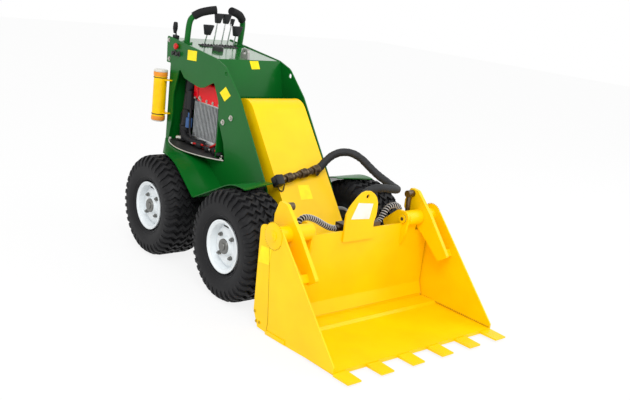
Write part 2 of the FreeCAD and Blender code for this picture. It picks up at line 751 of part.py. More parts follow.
def rear_bumper():
    y = body_rear_y + seat_gap
    reach = overall_width / 2 - 125
    bar = block(-reach, reach, y, y + 30, 232, 272)
    return bar.makeChamfer(4, [edge for edge in bar.Edges if edge.BoundBox.YMin > y + 29])


def stop_buttons():
    x = -body_half_width - seat_gap
    solids = [Part.makeCylinder(15, 14, Vector(x, 533, 929), Vector(-1, 0, 0))]
    for y in (548, 512):
        solids.append(Part.makeCylinder(10, 18, Vector(x, y, 896), Vector(-1, 0, 0)))
    return solids


def throttle_lever():
    base = block(-10, 10, -14, 14, 0, 16)
    stick = rod_between((0, 0, 10), (-4, 6, 60), 3.5)
    knob = rod_between((-4, 6, 54), (-4.6, 7, 72), 8)
    return on_panel(joined([base, stick, knob]), 22 - body_half_width, body_rear_y + 5)


def on_arm(x, lift):
    """Point over the arm's front face, on the slanting line the couplings follow."""
    y, z = along(coupling_row[0] + coupling_row[1] * x, -lift)
    return (x, y, z)


def hose_blocks():
    """Row of hose couplings across the arm's front, with an end block and two saddles."""
    pieces = [rod_between(on_arm(-140, 24), on_arm(coupling_end, 24), 14)]
    for x in coupling_x:
        pieces.append(rod_between(on_arm(x - 17, 24), on_arm(x + 17, 24), 21))
    for x, half, height in ((-152, 20, 46), (-52, 9, 24), (27, 9, 24)):
        cube = block(x - half, x + half, -height / 2, height / 2, 0, height)
        cube.rotate(Vector(0, 0, 0), Vector(1, 0, 0), arm_slope_deg)
        cube.translate(Vector(0, *on_arm(x, seat_gap)[1:]))
        pieces.append(cube)
    return joined(pieces)


def hose(points, diameter):
    """Tube of straight runs joined by tangent arcs, as large as the runs allow."""
    corners = [Vector(*point) for point in points]
    edges = []
    last = corners[0]
    for i in range(1, len(corners) - 1):
        into = corners[i - 1] - corners[i]
        out = corners[i + 1] - corners[i]
        shorter = min(into.Length, out.Length)
        turn = math.pi - into.getAngle(out)
        reach = 0.45 * shorter
        radius = reach / math.tan(turn / 2)
        into.normalize()
        out.normalize()
        start = corners[i] + into * reach
        end = corners[i] + out * reach
        bisector = (into + out).normalize()
        centre = corners[i] + bisector * (radius / math.cos(turn / 2))
        middle = centre - bisector * radius
        edges.append(Part.LineSegment(last, start).toShape())
        edges.append(Part.Arc(start, middle, end).toShape())
        last = end
        print("  bend radius", round(radius, 1), "turn", round(math.degrees(turn), 1))
    edges.append(Part.LineSegment(last, corners[-1]).toShape())
    path = Part.Wire(edges)
    ring = Part.Wire([Part.Circle(corners[0], corners[1] - corners[0], diameter / 2).toShape()])
    tube = path.makePipeShell([ring], True, True)
    area = math.pi * diameter ** 2 / 4
    print("  length", round(path.Length, 1), "volume ratio", round(tube.Volume / (area * path.Length), 4))
    return tube


main_hose_diameter = 34.0
guard_hose_diameter = 26.0
upper_hose_route = [(69.2, -267.9, 493.6), (120, -280, 568.5), (178.7, -319, 603.4), (226.8, -369.3, 588),
                    (247.2, -400.4, 557.5)]
lower_hose_route = [(247.2, -400.4, 557.5), (267.6, -431.5, 527), (291, -521.7, 490.3), (245, -610, 497),
                    (149.4, -629.4, 519.7), (89.6, -611, 518.3), (43.4, -598, 488.3), (20, -599, 437.5),
                    (20, -600, 382.4)]
guard_right_route = [(-282, -600, 348.4), (-282, -600, 404), (-248, -598, 428), (-190, -598, 412),
                     (-140, -600, 382), (-94, -600, 362), (-60.4, -600, 362)]
guard_left_route = [(282, -600, 348.4), (282, -600, 409), (252, -598, 433), (206, -598, 428), (178, -600, 396),
                    (158, -600, 362), (130.4, -600, 362)]


def build():
    wheels = (("front_right", -1, -wheelbase / 2), ("front_left", 1, -wheelbase / 2),
              ("rear_right", -1, wheelbase / 2), ("rear_left", 1, wheelbase / 2))
    for name, side, y in wheels:
        save("tyre_" + name, tyre(side, y))
        save("rim_" + name, rim(side, y))
    for name, side in (("right", -1), ("left", 1)):
        save("side_plate_" + name, side_plate(side))
        save("fender_" + name, fender(side))
    save("wheel_motors", motors())
    save("grab_handles", both_sides(grab_handle()))
    save("grab_grips", both_sides(grab_grip()))
    save("hood_panel", hood_panel())
    save("control_panel", control_panel())
    save("rear_panel", rear_panel())
    save("belly_pan", belly_pan())
    save("engine_tray", engine_tray())
    save("chassis_brackets", [cross_member(), tilt_lug()] + lift_lugs())
    save("arm_pins", arm_pins())
    save("lift_arm", lift_arm())
    save("hose_blocks", hose_blocks())
    save("hitch_sleeves", hitch_sleeves())
    save("hitch_pin", rod_x(hitch, hitch_pin_radius, -arm_half_width - 20, arm_half_width + 20))
    lift_right = ram(lift_base, lift_eye, lift_bore, lift_rod, -lift_x, 360, 52, lift_bore + 4.7,
                     (-arm_half_width + arm_sheet + seat_gap, -lift_x + 22))
    save("lift_barrels", both_sides(lift_right[0]))
    save("lift_rods", both_sides(lift_right[1]))
    tilt = ram(tilt_base, tilt_eye, tilt_bore, tilt_rod, 0, 560, 120, tilt_bore + 5.7,
               (-tilt_eye_half + seat_gap, tilt_eye_half - seat_gap))
    save("tilt_barrel", tilt[0])
    save("tilt_rod", tilt[1])
    save("bucket_back", bucket_back())
    save("eye_plate", eye_plate())
    save("bucket_ports", bucket_ports())
    save("clam_shell", clam_shell())
    save("clam_teeth", teeth())
    save("clam_arms", clam_arms())
    save("clam_pins", clam_pins())
    clam_ram = ram(clam_ram_base, clam_ram_eye, clam_ram_bore, clam_ram_rod, clam_ram_x, 260, 140, clam_ram_bore + 2.7,
                   (clam_ram_x - 14, clam_arm_x - clam_arm_sheet / 2 - seat_gap))
    save("clam_barrels", both_sides(clam_ram[0]))
    save("clam_rods", both_sides(clam_ram[1]))
    save("engine_block", engine_block())
    save("engine_cover", engine_cover())
    save("fuel_tank", fuel_tank())
    save("muffler", muffler())
    save("control_levers", control_levers())
    save("lever_guide", lever_guide())
    save("lifting_lug", lifting_lug())
    save("document_tube", document_tube())
    save("rear_bumper", rear_bumper())
    save("stop_buttons", stop_buttons())
    save("throttle_lever", throttle_lever())
    fitting = rod_between(on_arm(-coupling_end, 24), on_arm(coupling_end + seat_gap, 24), 2 * main_hose_diameter)
    save("hose_upper", hose(upper_hose_route, main_hose_diameter).cut(fitting))
    save("hose_lower", hose(lower_hose_route, main_hose_diameter))
    save("hose_guard_right", hose(guard_right_route, guard_hose_diameter))
    save("hose_guard_left", hose(guard_left_route, guard_hose_diameter))
    print("shift", round(shift_y, 3), "hitch", hitch, "tilt base", tilt_base, "tilt eye", tilt_eye,
          "lift eye", lift_eye)


build()
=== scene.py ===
"""Finishes, hoses and small parts of a compact wheeled loader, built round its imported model."""

import math

import bmesh
import bpy
from mathutils import Matrix, Vector, noise


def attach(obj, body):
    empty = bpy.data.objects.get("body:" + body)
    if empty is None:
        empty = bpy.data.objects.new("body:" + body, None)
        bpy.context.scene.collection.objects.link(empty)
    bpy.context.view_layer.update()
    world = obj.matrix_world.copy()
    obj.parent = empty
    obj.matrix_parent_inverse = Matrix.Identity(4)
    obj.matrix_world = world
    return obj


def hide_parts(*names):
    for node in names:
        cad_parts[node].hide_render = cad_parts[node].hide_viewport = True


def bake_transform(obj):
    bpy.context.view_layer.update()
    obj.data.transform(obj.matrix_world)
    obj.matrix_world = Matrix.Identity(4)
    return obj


bl_info = {
    "name": "Mini skid steer loader",
    "version": (1, 0, 0),
    "blender": (4, 5, 0),
    "location": "3D View > Sidebar > Loader",
    "description": "Finishes, hoses and small parts of a compact loader round its packed model",
    "category": "Object",
}

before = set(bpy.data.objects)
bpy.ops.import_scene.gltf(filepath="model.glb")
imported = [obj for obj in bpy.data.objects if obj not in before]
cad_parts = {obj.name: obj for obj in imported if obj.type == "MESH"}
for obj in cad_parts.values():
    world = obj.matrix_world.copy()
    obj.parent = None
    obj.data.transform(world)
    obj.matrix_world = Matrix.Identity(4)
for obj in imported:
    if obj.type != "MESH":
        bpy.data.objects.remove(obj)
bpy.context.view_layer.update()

# Millimetres of the drawing, measured about the middle of the wheelbase
SHIFT_Y = 243.0
WHEEL_X = 319.0
AXLE_Y = 305.0
AXLE_Z = 230.0
SIDE_X = 180.0
ARM_HEAD = (-67.2, 742.1)
PANEL_FRONT = (200.0, 914.0)
PANEL_REAR = (616.0, 960.0)
PANEL_SKIN = 3.3
HOSE_ROW_Y = -600.0
CLAM_X = 425.0
CLAM_PIN = (-650.0, 385.0)

ARM_SLOPE = math.radians(52.2)
ARM_TURN = Matrix.Rotation(ARM_SLOPE, 3, "X")
SIDES = (-1, 1)
HANDS = ((-1, "right"), (1, "left"))
WHEELS = (("front_right", -1, -1), ("front_left", 1, -1), ("rear_right", -1, 1), ("rear_left", 1, 1))


def at(x, y, z):
    """Point of the drawing, in metres in the model's own frame."""
    return Vector((x, y + SHIFT_Y, z)) / 1000


def on_arm(x, distance, lift):
    """Point over the lift arm's front face, a distance down it from its head."""
    y = ARM_HEAD[0] - distance * math.cos(ARM_SLOPE) - lift * math.sin(ARM_SLOPE)
    z = ARM_HEAD[1] - distance * math.sin(ARM_SLOPE) + lift * math.cos(ARM_SLOPE)
    return at(x, y, z)


def on_panel(x, y, lift):
    """Point over the sloping control panel."""
    slope = (PANEL_REAR[1] - PANEL_FRONT[1]) / (PANEL_REAR[0] - PANEL_FRONT[0])
    angle = math.atan(slope)
    base = PANEL_FRONT[1] + slope * (y - PANEL_FRONT[0]) + PANEL_SKIN
    return at(x, y - lift * math.sin(angle), base + lift * math.cos(angle))


def turned(degrees, axis):
    return Matrix.Rotation(math.radians(degrees), 3, axis)


def mirrored(side, route):
    return [(side * x, y, z) for x, y, z in route]


def ring(count, first=0, step=None):
    """Cosine and sine at even steps round a circle."""
    angles = [math.radians(first + (step or 360 / count) * k) for k in range(count)]
    return [(math.cos(angle), math.sin(angle)) for angle in angles]


# Shaders

class Socket:
    """A shader output that can be used in Python sums."""

    def __init__(self, tree, output):
        self.tree = tree
        self.output = output

    def sum(self, operation, first, second):
        node = self.tree.nodes.new("ShaderNodeMath")
        node.operation = operation
        plug(self.tree, node.inputs[0], first)
        plug(self.tree, node.inputs[1], second)
        return Socket(self.tree, node.outputs[0])

    def __add__(self, other):
        return self.sum("ADD", self, other)

    def __mul__(self, other):
        return self.sum("MULTIPLY", self, other)

    __radd__ = __add__
    __rmul__ = __mul__


def plug(tree, slot, value):
    """Link a socket, or set a plain value, on a node's input."""
    if isinstance(value, Socket):
        tree.links.new(value.output, slot)
    else:
        slot.default_value = value


class Finish:
    """A material whose main shader is set by plain numbers and fed by a few patterns."""

    def __init__(self, name, colour, roughness, metallic=0.0):
        self.material = bpy.data.materials.new(name)
        self.material.use_nodes = True
        self.tree = self.material.node_tree
        self.shader = self.tree.nodes["Principled BSDF"]
        self.material.diffuse_color = (*colour, 1.0)
        self.set("Base Color", (*colour, 1.0))
        self.set("Roughness", roughness)
        self.set("Metallic", metallic)

    def set(self, name, value):
        plug(self.tree, self.shader.inputs[name], value)

    def node(self, kind, settings=None, output=0, **inputs):
        """Add a node, make its settings first, then set or link its sockets."""
        node = self.tree.nodes.new(kind)
        for key, value in (settings or {}).items():
            setattr(node, key, value)
        for key, value in inputs.items():
            plug(self.tree, node.inputs[key], value)
        return Socket(self.tree, node.outputs[output])

    def place(self):
        return self.node("ShaderNodeTexCoord", output="Object")

    def noise(self, scale, detail, where=None):
        return self.node("ShaderNodeTexNoise", Vector=where or self.place(), Scale=scale, Detail=detail)

    def shades(self, factor, colour, dark, pale):
        """Blend of a darker and a paler share of a colour."""
        node = self.tree.nodes.new("ShaderNodeMix")
        node.data_type = "RGBA"
        plug(self.tree, node.inputs["Factor"], factor)
        for slot, share in (("A", dark), ("B", pale)):
            shade = (*scaled(colour, share), 1.0)
            plug(self.tree, [s for s in node.inputs if s.name == slot and s.type == "RGBA"][0], shade)
        return Socket(self.tree, [s for s in node.outputs if s.type == "RGBA"][0])

    def bump(self, height, strength, distance):
        self.set("Normal", self.node("ShaderNodeBump", Height=height, Strength=strength, Distance=distance))


def scaled(colour, share):
    return tuple(channel * share for channel in colour)


# Families of finishes. Mottle: scale, detail, darkest and palest share of the colour. Wear: scale, detail, and
# the least and the span of what it adds to the roughness. Grain: scale, detail, strength and depth of the bump.
LOOKS = {
    "enamel": {"coat": 0.08, "coat_roughness": 0.1, "specular": 0.2, "mottle": (7.0, 3.0, 0.84, 1.12),
               "wear": (35.0, 4.0, -0.06, 0.14), "grain": (420.0, 1.0, 0.08, 0.0004)},
    "polished": {"coat": 0.8, "coat_roughness": 0.06, "mottle": (30.0, 6.0, 0.9, 1.4),
                 "grain": (420.0, 1.0, 0.05, 0.0004)},
    "metal": {"mottle": (90.0, 5.0, 0.72, 1.12), "wear": (90.0, 5.0, -0.08, 0.2),
              "grain": (600.0, 2.0, 0.1, 0.0003)},
    "cast": {"mottle": (60.0, 6.0, 0.5, 1.15), "grain": (300.0, 4.0, 0.3, 0.0006)},
    "moulded": {"specular": 0.25, "mottle": (24.0, 3.0, 0.8, 1.25), "grain": (700.0, 2.0, 0.15, 0.0004)},
    "dusty": {"specular": 0.18, "mottle": (18.0, 5.0, 0.7, 1.9), "wear": (18.0, 5.0, -0.2, 0.3),
              "grain": (260.0, 4.0, 0.2, 0.0008)},
}


def surface(look, name, colour, roughness, metallic=0.0):
    """Material with the mottle, wear and grain of its family."""
    traits = LOOKS[look]
    finish = Finish(name, colour, roughness, metallic)
    finish.set("Coat Weight", traits.get("coat", 0.0))
    finish.set("Coat Roughness", traits.get("coat_roughness", 0.03))
    finish.set("Specular IOR Level", traits.get("specular", 0.5))
    scale, detail, dark, pale = traits["mottle"]
    finish.set("Base Color", finish.shades(finish.noise(scale, detail), colour, dark, pale))
    if "wear" in traits:
        scale, detail, least, span = traits["wear"]
        finish.set("Roughness", roughness + least + span * finish.noise(scale, detail))
    scale, detail, strength, depth = traits["grain"]
    finish.bump(finish.noise(scale, detail), strength, depth)
    return finish.material


def sleeve_braid(colour):
    """Woven sleeve: a fine diagonal weave over soft folds, with painted shade in their dips and painted
    highlight on their ridges.
    """
    finish = Finish("sleeve_braid", colour, 0.66)
    where = finish.place()
    weave = finish.node("ShaderNodeTexWave", {"bands_direction": "DIAGONAL"}, 1, Vector=where, Scale=70.0,
                        Distortion=2.0)
    folds = finish.noise(42.0, 4.0, where)
    # The folds' noise also sets the colour, from 0.55 to 2.4 times the braid colour: painted shade in the dips
    # of the folds and painted highlight on their ridges.
    finish.set("Base Color", finish.shades(folds, colour, 0.55, 2.4))
    finish.bump(0.4 * weave + folds, 0.5, 0.002)
    return finish.material


def colour_prop(name, description, default):
    return bpy.props.FloatVectorProperty(name=name, description=description, subtype="COLOR", default=default)


def length_prop(name, description, default, **limits):
    return bpy.props.FloatProperty(name=name, description=description, unit="LENGTH", default=default, **limits)


class LoaderColours(bpy.types.PropertyGroup):
    """Colours of the loader's finishes."""
    green: colour_prop("Body green", "Enamel of the body shell", (0.001, 0.12, 0.012))
    yellow: colour_prop("Bucket yellow", "Enamel of the arm and the bucket", (1.0, 0.62, 0.0))
    red: colour_prop("Engine red", "Enamel of the engine's cover", (0.85, 0.0, 0.01))
    rubber: colour_prop("Tyre black", "Rubber of the tyres", (0.009, 0.009, 0.01))
    white: colour_prop("Rim white", "Enamel of the rims", (0.8, 0.84, 0.86))


class LoaderSizes(bpy.types.PropertyGroup):
    """Sizes of the loader's added pieces."""
    lug_height: length_prop("Lug height", "How far the tread stands out", 0.011, min=0.004)
    lug_count: bpy.props.IntProperty(
        name="Lugs", description="Lugs round each half of a tyre", default=38, min=8)
    main_hose: length_prop("Main hose", "Diameter of the sleeved hose", 0.034)
    guard_hose: length_prop("Guarded hose", "Diameter over the spiral guard", 0.026)
    guard_pitch: length_prop("Guard pitch", "Distance between turns of the spiral guard", 0.0112)


materials = {}


def make_materials(colours):
    """Every finish of the loader, by the name that the pieces use."""
    green = tuple(colours.green)
    yellow = tuple(colours.yellow)
    rows = {
        "green": ("enamel", "green_enamel", green, 0.3),
        "panel": ("polished", "panel_green", green, 0.22),
        "yellow": ("enamel", "yellow_enamel", yellow, 0.36),
        "weld": ("enamel", "weld_yellow", scaled(yellow, 0.55), 0.5),
        "red": ("enamel", "red_enamel", tuple(colours.red), 0.4),
        "rim": ("enamel", "rim_white", tuple(colours.white), 0.28),
        "black_enamel": ("enamel", "black_enamel", (0.012, 0.012, 0.013), 0.35),
        "tyre": ("dusty", "tyre_rubber", tuple(colours.rubber), 0.6),
        "foam": ("moulded", "foam_grip", (0.009, 0.009, 0.01), 0.8),
        "black": ("moulded", "black_plastic", (0.014, 0.014, 0.016), 0.45),
        "blue": ("moulded", "blue_plastic", (0.05, 0.12, 0.3), 0.4),
        "red_plastic": ("moulded", "red_plastic", (0.55, 0.012, 0.01), 0.3),
        "tube": ("moulded", "tube_yellow", (1.0, 0.6, 0.0), 0.25),
        "orange": ("moulded", "band_orange", (0.85, 0.3, 0.03), 0.4),
        "clear": ("moulded", "cap_clear", (0.72, 0.7, 0.64), 0.2),
        "sign": ("moulded", "sign_yellow", (1.0, 0.78, 0.0), 0.35),
        "paper": ("moulded", "label_white", (0.85, 0.83, 0.8), 0.4),
        "spiral": ("moulded", "spiral_grey", (0.5, 0.48, 0.46), 0.45),
        "spiral_dark": ("moulded", "spiral_shadow", (0.008, 0.008, 0.008), 0.7),
        "steel": ("metal", "worn_steel", (0.42, 0.41, 0.39), 0.4, 1.0),
        "zinc": ("metal", "zinc_plate", (0.62, 0.6, 0.55), 0.3, 1.0),
        "fitting": ("metal", "fitting_steel", (0.16, 0.12, 0.08), 0.36, 1.0),
        "dark_steel": ("metal", "dark_steel", (0.06, 0.06, 0.06), 0.45, 0.6),
        "hub": ("metal", "hub_steel", (0.22, 0.22, 0.21), 0.4, 0.9),
        "chrome": ("metal", "chrome_rod", (0.8, 0.8, 0.82), 0.12, 1.0),
        "alloy": ("cast", "fin_alloy", (0.6, 0.62, 0.63), 0.42, 0.85),
    }
    materials.update({key: surface(*row) for key, row in rows.items()})
    materials["braid"] = sleeve_braid((0.008, 0.009, 0.01))


# Pieces

def placed(name, data):
    """New object in the scene."""
    piece = bpy.data.objects.new(name, data)
    bpy.context.collection.objects.link(piece)
    return piece


def settle(piece, body, replaces=()):
    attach(piece, body)
    if replaces:
        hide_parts(*replaces)


def finish_piece(name, bm, finish, body, replaces=(), crease=35.0):
    """Turn a bmesh into a finished piece that rides on a body."""
    bmesh.ops.recalc_face_normals(bm, faces=bm.faces)
    mesh = bpy.data.meshes.new(name)
    bm.to_mesh(mesh)
    bm.free()
    mesh.materials.append(materials[finish])
    for face in mesh.polygons:
        face.use_smooth = True
    mesh.set_sharp_from_angle(angle=math.radians(crease))
    settle(placed(name, mesh), body, replaces)


def add_rod(bm, start, end, radius, end_radius=None, sides=24, bevel=0.0):
    """Round bar or cone between two points, with softened rims."""
    turn = (end - start).normalized().to_track_quat("Z", "Y").to_matrix().to_4x4()
    move = Matrix.Translation((start + end) / 2) @ turn
    made = bmesh.ops.create_cone(bm, cap_ends=True, segments=sides, radius1=radius,
                                 radius2=radius if end_radius is None else end_radius,
                                 depth=(end - start).length, matrix=move)
    if bevel:
        caps = [f for f in {f for v in made["verts"] for f in v.link_faces} if len(f.verts) > 4]
        edges = list({e for f in caps for e in f.edges})
        bmesh.ops.bevel(bm, geom=edges, offset=bevel, segments=2, profile=0.5, affect="EDGES", material=-1)


def add_block(bm, centre, size, turn=None, bevel=0.0015, segments=2):
    """Box with rounded edges, turned about its own centre."""
    made = bmesh.ops.create_cube(bm, size=1.0)
    bmesh.ops.scale(bm, vec=Vector(size), verts=made["verts"])
    edges = list({e for v in made["verts"] for e in v.link_edges})
    made = bmesh.ops.bevel(bm, geom=edges, offset=bevel, segments=segments, profile=0.5, affect="EDGES",
                           material=-1)
    verts = list({v for f in made["faces"] for v in f.verts})
    move = Matrix.Translation(centre) @ (turn.to_4x4() if turn else Matrix.Identity(4))
    bmesh.ops.transform(bm, matrix=move, verts=verts)
    return verts


def add_rods(bm, rows):
    """Bars on both sides of the loader, in millimetres: two ends, radius, sides and softened rim."""
    for side in SIDES:
        for (x, y, z), (far_x, far_y, far_z), radius, sides, bevel in rows:
            add_rod(bm, at(x * side, y, z), at(far_x * side, far_y, far_z), radius / 1000, sides=sides,
                    bevel=bevel / 1000)


def add_blocks(bm, rows):
    """Boxes on both sides of the loader, in millimetres: centre, size, rounded edge and its steps."""
    for side in SIDES:
        for (x, y, z), size, bevel, steps in rows:
            add_block(bm, at(x * side, y, z), [edge / 1000 for edge in size], bevel=bevel / 1000,
                      segments=steps)


def add_plate(bm, corners, thickness):
    """Flat plate from its outline, thickened behind the face that the outline draws."""
    face = bm.faces.new([bm.verts.new(corner) for corner in corners])
    face.normal_update()
    normal = face.normal.copy()
    made = bmesh.ops.extrude_face_region(bm, geom=[face])
    bmesh.ops.translate(bm, vec=-normal * thickness, verts=only_verts(made["geom"]))


def only_verts(geom):
    return [item for item in geom if isinstance(item, bmesh.types.BMVert)]


def add_bolt(bm, centre, axis, radius=0.0065, height=0.005, washer=True):
    """Hexagon bolt head on its washer; centre lies on the surface."""
    axis = Vector(axis).normalized()
    base = 0.0
    if washer:
        base = 0.0015
        add_rod(bm, centre, centre + axis * base, radius * 1.6, sides=20)
    add_rod(bm, centre + axis * base, centre + axis * (base + height), radius, sides=6, bevel=0.0008)


def add_beads(bm, places, radius):
    """Round beads of a weld."""
    for place in places:
        bmesh.ops.create_uvsphere(bm, u_segments=8, v_segments=5, radius=radius,
                                  matrix=Matrix.Translation(place))


def add_spin(bm, section, side, centre, steps):
    """Turn a closed section, given as distance outwards and radius, about an axle."""
    verts = [bm.verts.new(centre + Vector((side * out, 0, radius))) for out, radius in section]
    edges = [bm.edges.new((verts[i - 1], verts[i])) for i in range(len(verts))]
    bmesh.ops.spin(bm, geom=verts + edges, cent=centre, axis=(1, 0, 0), angle=2 * math.pi, steps=steps,
                   use_merge=True)
    bmesh.ops.remove_doubles(bm, verts=bm.verts, dist=1e-6)


# Hoses

def new_curve(name, kind, points, radius, sides, finish):
    """Round bar along points, in metres."""
    curve = bpy.data.curves.new(name, "CURVE")
    curve.dimensions = "3D"
    spline = curve.splines.new(kind)
    spline.points.add(len(points) - 1)
    for point, place in zip(spline.points, points):
        point.co = (*place, 1.0)
    curve.bevel_depth = radius
    curve.bevel_resolution = sides
    curve.materials.append(materials[finish])
    return placed(name, curve)


def hose_curve(name, route, diameter, finish, lay=at, order=3, steps=10, sides=5, caps=True):
    """Smooth hose or bar whose control points are the route's own points."""
    hose = new_curve(name, "NURBS", [lay(*place) for place in route], diameter / 2, sides, finish)
    spline = hose.data.splines[0]
    spline.order_u = order
    spline.use_endpoint_u = True
    spline.resolution_u = steps
    hose.data.use_fill_caps = caps
    return hose


def line_of(hose):
    """Points along a hose's own smooth line."""
    depth = hose.data.bevel_depth
    hose.data.bevel_depth = 0.0
    hose.data.use_fill_caps = False
    bpy.context.view_layer.update()
    mesh = bpy.data.meshes.new_from_object(hose)
    points = [v.co.copy() for v in mesh.vertices]
    bpy.data.meshes.remove(mesh)
    hose.data.bevel_depth = depth
    hose.data.use_fill_caps = True
    return points


def meshed(hose):
    """Plain mesh in place of a curve piece."""
    mesh = bpy.data.meshes.new_from_object(hose)
    name = hose.name
    bpy.data.objects.remove(hose)
    return placed(name, mesh)


def frames_along(points, spacing):
    """Place, direction and an untwisted side vector at even steps along a line."""
    side = (points[1] - points[0]).orthogonal().normalized()
    rows = []
    carried = 0.0
    for i in range(len(points) - 1):
        step = points[i + 1] - points[i]
        direction = step.normalized()
        side = (side - direction * side.dot(direction)).normalized()
        while carried <= step.length:
            rows.append((points[i] + direction * carried, direction, side.copy()))
            carried += spacing
        carried -= step.length
    return rows


def add_helix(name, points, radius, pitch, thickness, finish, body, per_turn=14):
    """Round strip wound about a line."""
    places = []
    for i, (place, direction, side) in enumerate(frames_along(points, pitch / per_turn)):
        turn = Matrix.Rotation(2 * math.pi * i / per_turn, 3, direction)
        places.append(place + turn @ side * radius)
    strip = new_curve(name, "POLY", places, thickness, 1, finish)
    settle(strip, body)
    return strip


UPPER_HOSE = [(69.2, -267.9, 493.6), (120, -280, 568.5), (178.7, -319, 603.4), (226.8, -369.3, 588),
              (247.2, -400.4, 557.5)]
LOWER_HOSE = [(247.2, -400.4, 557.5), (267.6, -431.5, 527), (291, -521.7, 490.3), (245, -610, 497),
              (149.4, -629.4, 519.7), (89.6, -611, 518.3), (43.4, -598, 488.3), (20, -599, 437.5),
              (20, -600, 382.4)]
GUARD_RIGHT = [(-282, -600, 348.4), (-282, -600, 404), (-248, -598, 428), (-190, -598, 412),
               (-140, -600, 382), (-94, -600, 362), (-60.4, -600, 362)]
GUARD_LEFT = [(282, -600, 348.4), (282, -600, 409), (252, -598, 433), (206, -598, 428), (178, -600, 396),
              (158, -600, 362), (130.4, -600, 362)]
LEASH = ((-150, 352, 8), (-149, 366, 5), (-142, 384, 4), (-128, 386, 4), (-118, 372, 5), (-112, 352, 12))
FOLD_DEPTH = 0.0019
COARSE_FOLDS = 95.0
FINE_FOLDS = 240.0
# Shares of the guarded hose's diameter: the hose inside, the spiral's radius and the strip's own
GUARD_CORE = 0.82
GUARD_REACH = 0.42
GUARD_STRIP = 0.08
ROW_DISTANCE = 319.0
ROW_SLANT = 0.175


def make_sleeved(part, route, diameter):
    """One length of the sleeved hose, its surface folded by noise."""
    hose = hose_curve("sleeved_hose_" + part, route, diameter, "braid")
    line = line_of(hose)
    hose = meshed(hose)
    for vert in hose.data.vertices:
        fold = noise.noise(vert.co * COARSE_FOLDS) + 0.6 * noise.noise(vert.co * FINE_FOLDS)
        vert.co += vert.normal * FOLD_DEPTH * fold
    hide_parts("hose_" + part)
    tuple(at(*route[1]))
    tuple(at(*route[-2]))
    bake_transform(hose)


def in_row(x, lift):
    """Point over the arm, in the slanting row of couplings."""
    return on_arm(x, ROW_DISTANCE - ROW_SLANT * x, lift)


def make_couplings():
    """Quick couplings in a row across the arm."""
    bm = bmesh.new()

    def add_part(start, end, radius, sides, bevel):
        add_rod(bm, in_row(start, 24.0), in_row(end, 24.0), radius, sides=sides, bevel=bevel)

    add_part(-140, 85, 0.012, 24, 0.0)
    for x in (-95, -9, 63):
        add_part(x - 17, x - 7, 0.0205, 6, 0.001)
        add_part(x - 7, x + 9, 0.0185, 24, 0.001)
        add_part(x + 9, x + 17, 0.0205, 28, 0.002)
        for k in range(3):
            add_part(x - 4 + 5 * k, x - 2 + 5 * k, 0.0196, 28, 0.0)
    for x in (-60, -40, 24, 34):
        add_part(x - 4, x + 4, 0.016, 6, 0.0008)
    for x in (-52, 27):
        add_block(bm, in_row(x, 12.3), (0.018, 0.024, 0.024), ARM_TURN)
    finish_piece("hose_couplings", bm, "fitting", "arm", ("hose_blocks",))
    bm = bmesh.new()
    block = in_row(-152, 23.4)
    add_block(bm, block, (0.036, 0.044, 0.044), ARM_TURN, 0.004)
    add_rod(bm, block - Vector((0.018, 0, 0)), block - Vector((0.024, 0, 0)), 0.013, bevel=0.001)
    finish_piece("coupling_end_block", bm, "black", "arm")
    settle(hose_curve("coupling_leash", LEASH, 0.005, "black", on_arm), "arm")


def make_ports():
    """Nuts where the guarded hoses and the main hose end at the blade."""
    bm = bmesh.new()
    for side, inner in ((-1, -60), (1, 130)):
        for start, end in (((282 * side, 347), (282 * side, 372)), ((inner, 362), (inner + 18 * side, 362))):
            add_rod(bm, at(start[0], HOSE_ROW_Y, start[1]), at(end[0], HOSE_ROW_Y, end[1]), 0.0155, sides=6,
                    bevel=0.001)
    add_rod(bm, at(20, HOSE_ROW_Y, 381), at(20, HOSE_ROW_Y, 402), 0.0195, sides=6, bevel=0.001)
    finish_piece("hose_nuts", bm, "fitting", "bucket")


class LOADER_OT_hoses(bpy.types.Operator):
    """Run the sleeved main hose and the two spiral-guarded hoses"""
    bl_idname = "loader.hoses"
    bl_label = "Add hoses"

    def execute(self, context):
        sizes = context.scene.loader_sizes
        make_sleeved("upper", UPPER_HOSE, sizes.main_hose)
        make_sleeved("lower", LOWER_HOSE, sizes.main_hose)
        for side, route in (("right", GUARD_RIGHT), ("left", GUARD_LEFT)):
            hose = hose_curve("guarded_hose_" + side, route, sizes.guard_hose * GUARD_CORE, "spiral_dark")
            settle(hose, "bucket", ("hose_guard_" + side,))
            line = line_of(hose)
            strip = add_helix("spiral_guard_" + side, line, sizes.guard_hose * GUARD_REACH, sizes.guard_pitch,
                              sizes.guard_hose * GUARD_STRIP, "spiral", "bucket")
            tuple(at(*route[0]))
        make_couplings()
        make_ports()
        return {"FINISHED"}


# Wheels, in metres from the axle: distance outwards, then radius

TYRE_BEAD = ((-0.064, 0.1015), (-0.084, 0.112), (-0.096, 0.128), (-0.103, 0.148), (-0.105, 0.168),
             (-0.103, 0.186), (-0.099, 0.199), (-0.088, 0.209))
TYRE_WALL = ((0.088, 0.209), (0.099, 0.199), (0.103, 0.186), (0.105, 0.168), (0.103, 0.148), (0.0985, 0.134),
             (0.0995, 0.131), (0.095, 0.1265), (0.084, 0.112), (0.064, 0.1015), (0.05, 0.12), (0.085, 0.16),
             (0.07, 0.195), (0.0, 0.2), (-0.07, 0.195), (-0.085, 0.16), (-0.05, 0.12))
RIM_SECTION = ((0.010, 0.0201), (0.010, 0.034), (0.05, 0.034), (0.058, 0.04), (0.062, 0.05), (0.062, 0.066),
               (0.058, 0.074), (0.046, 0.088), (0.03, 0.094), (-0.084, 0.094), (-0.090, 0.104),
               (-0.090, 0.109), (-0.086, 0.109), (-0.079, 0.101), (0.079, 0.101), (0.086, 0.109),
               (0.092, 0.1095), (0.0935, 0.105), (0.086, 0.094), (0.06, 0.0925), (0.054, 0.09), (0.064, 0.077),
               (0.068, 0.068), (0.068, 0.05), (0.066, 0.043), (0.074, 0.036), (0.080, 0.034), (0.080, 0.0201))
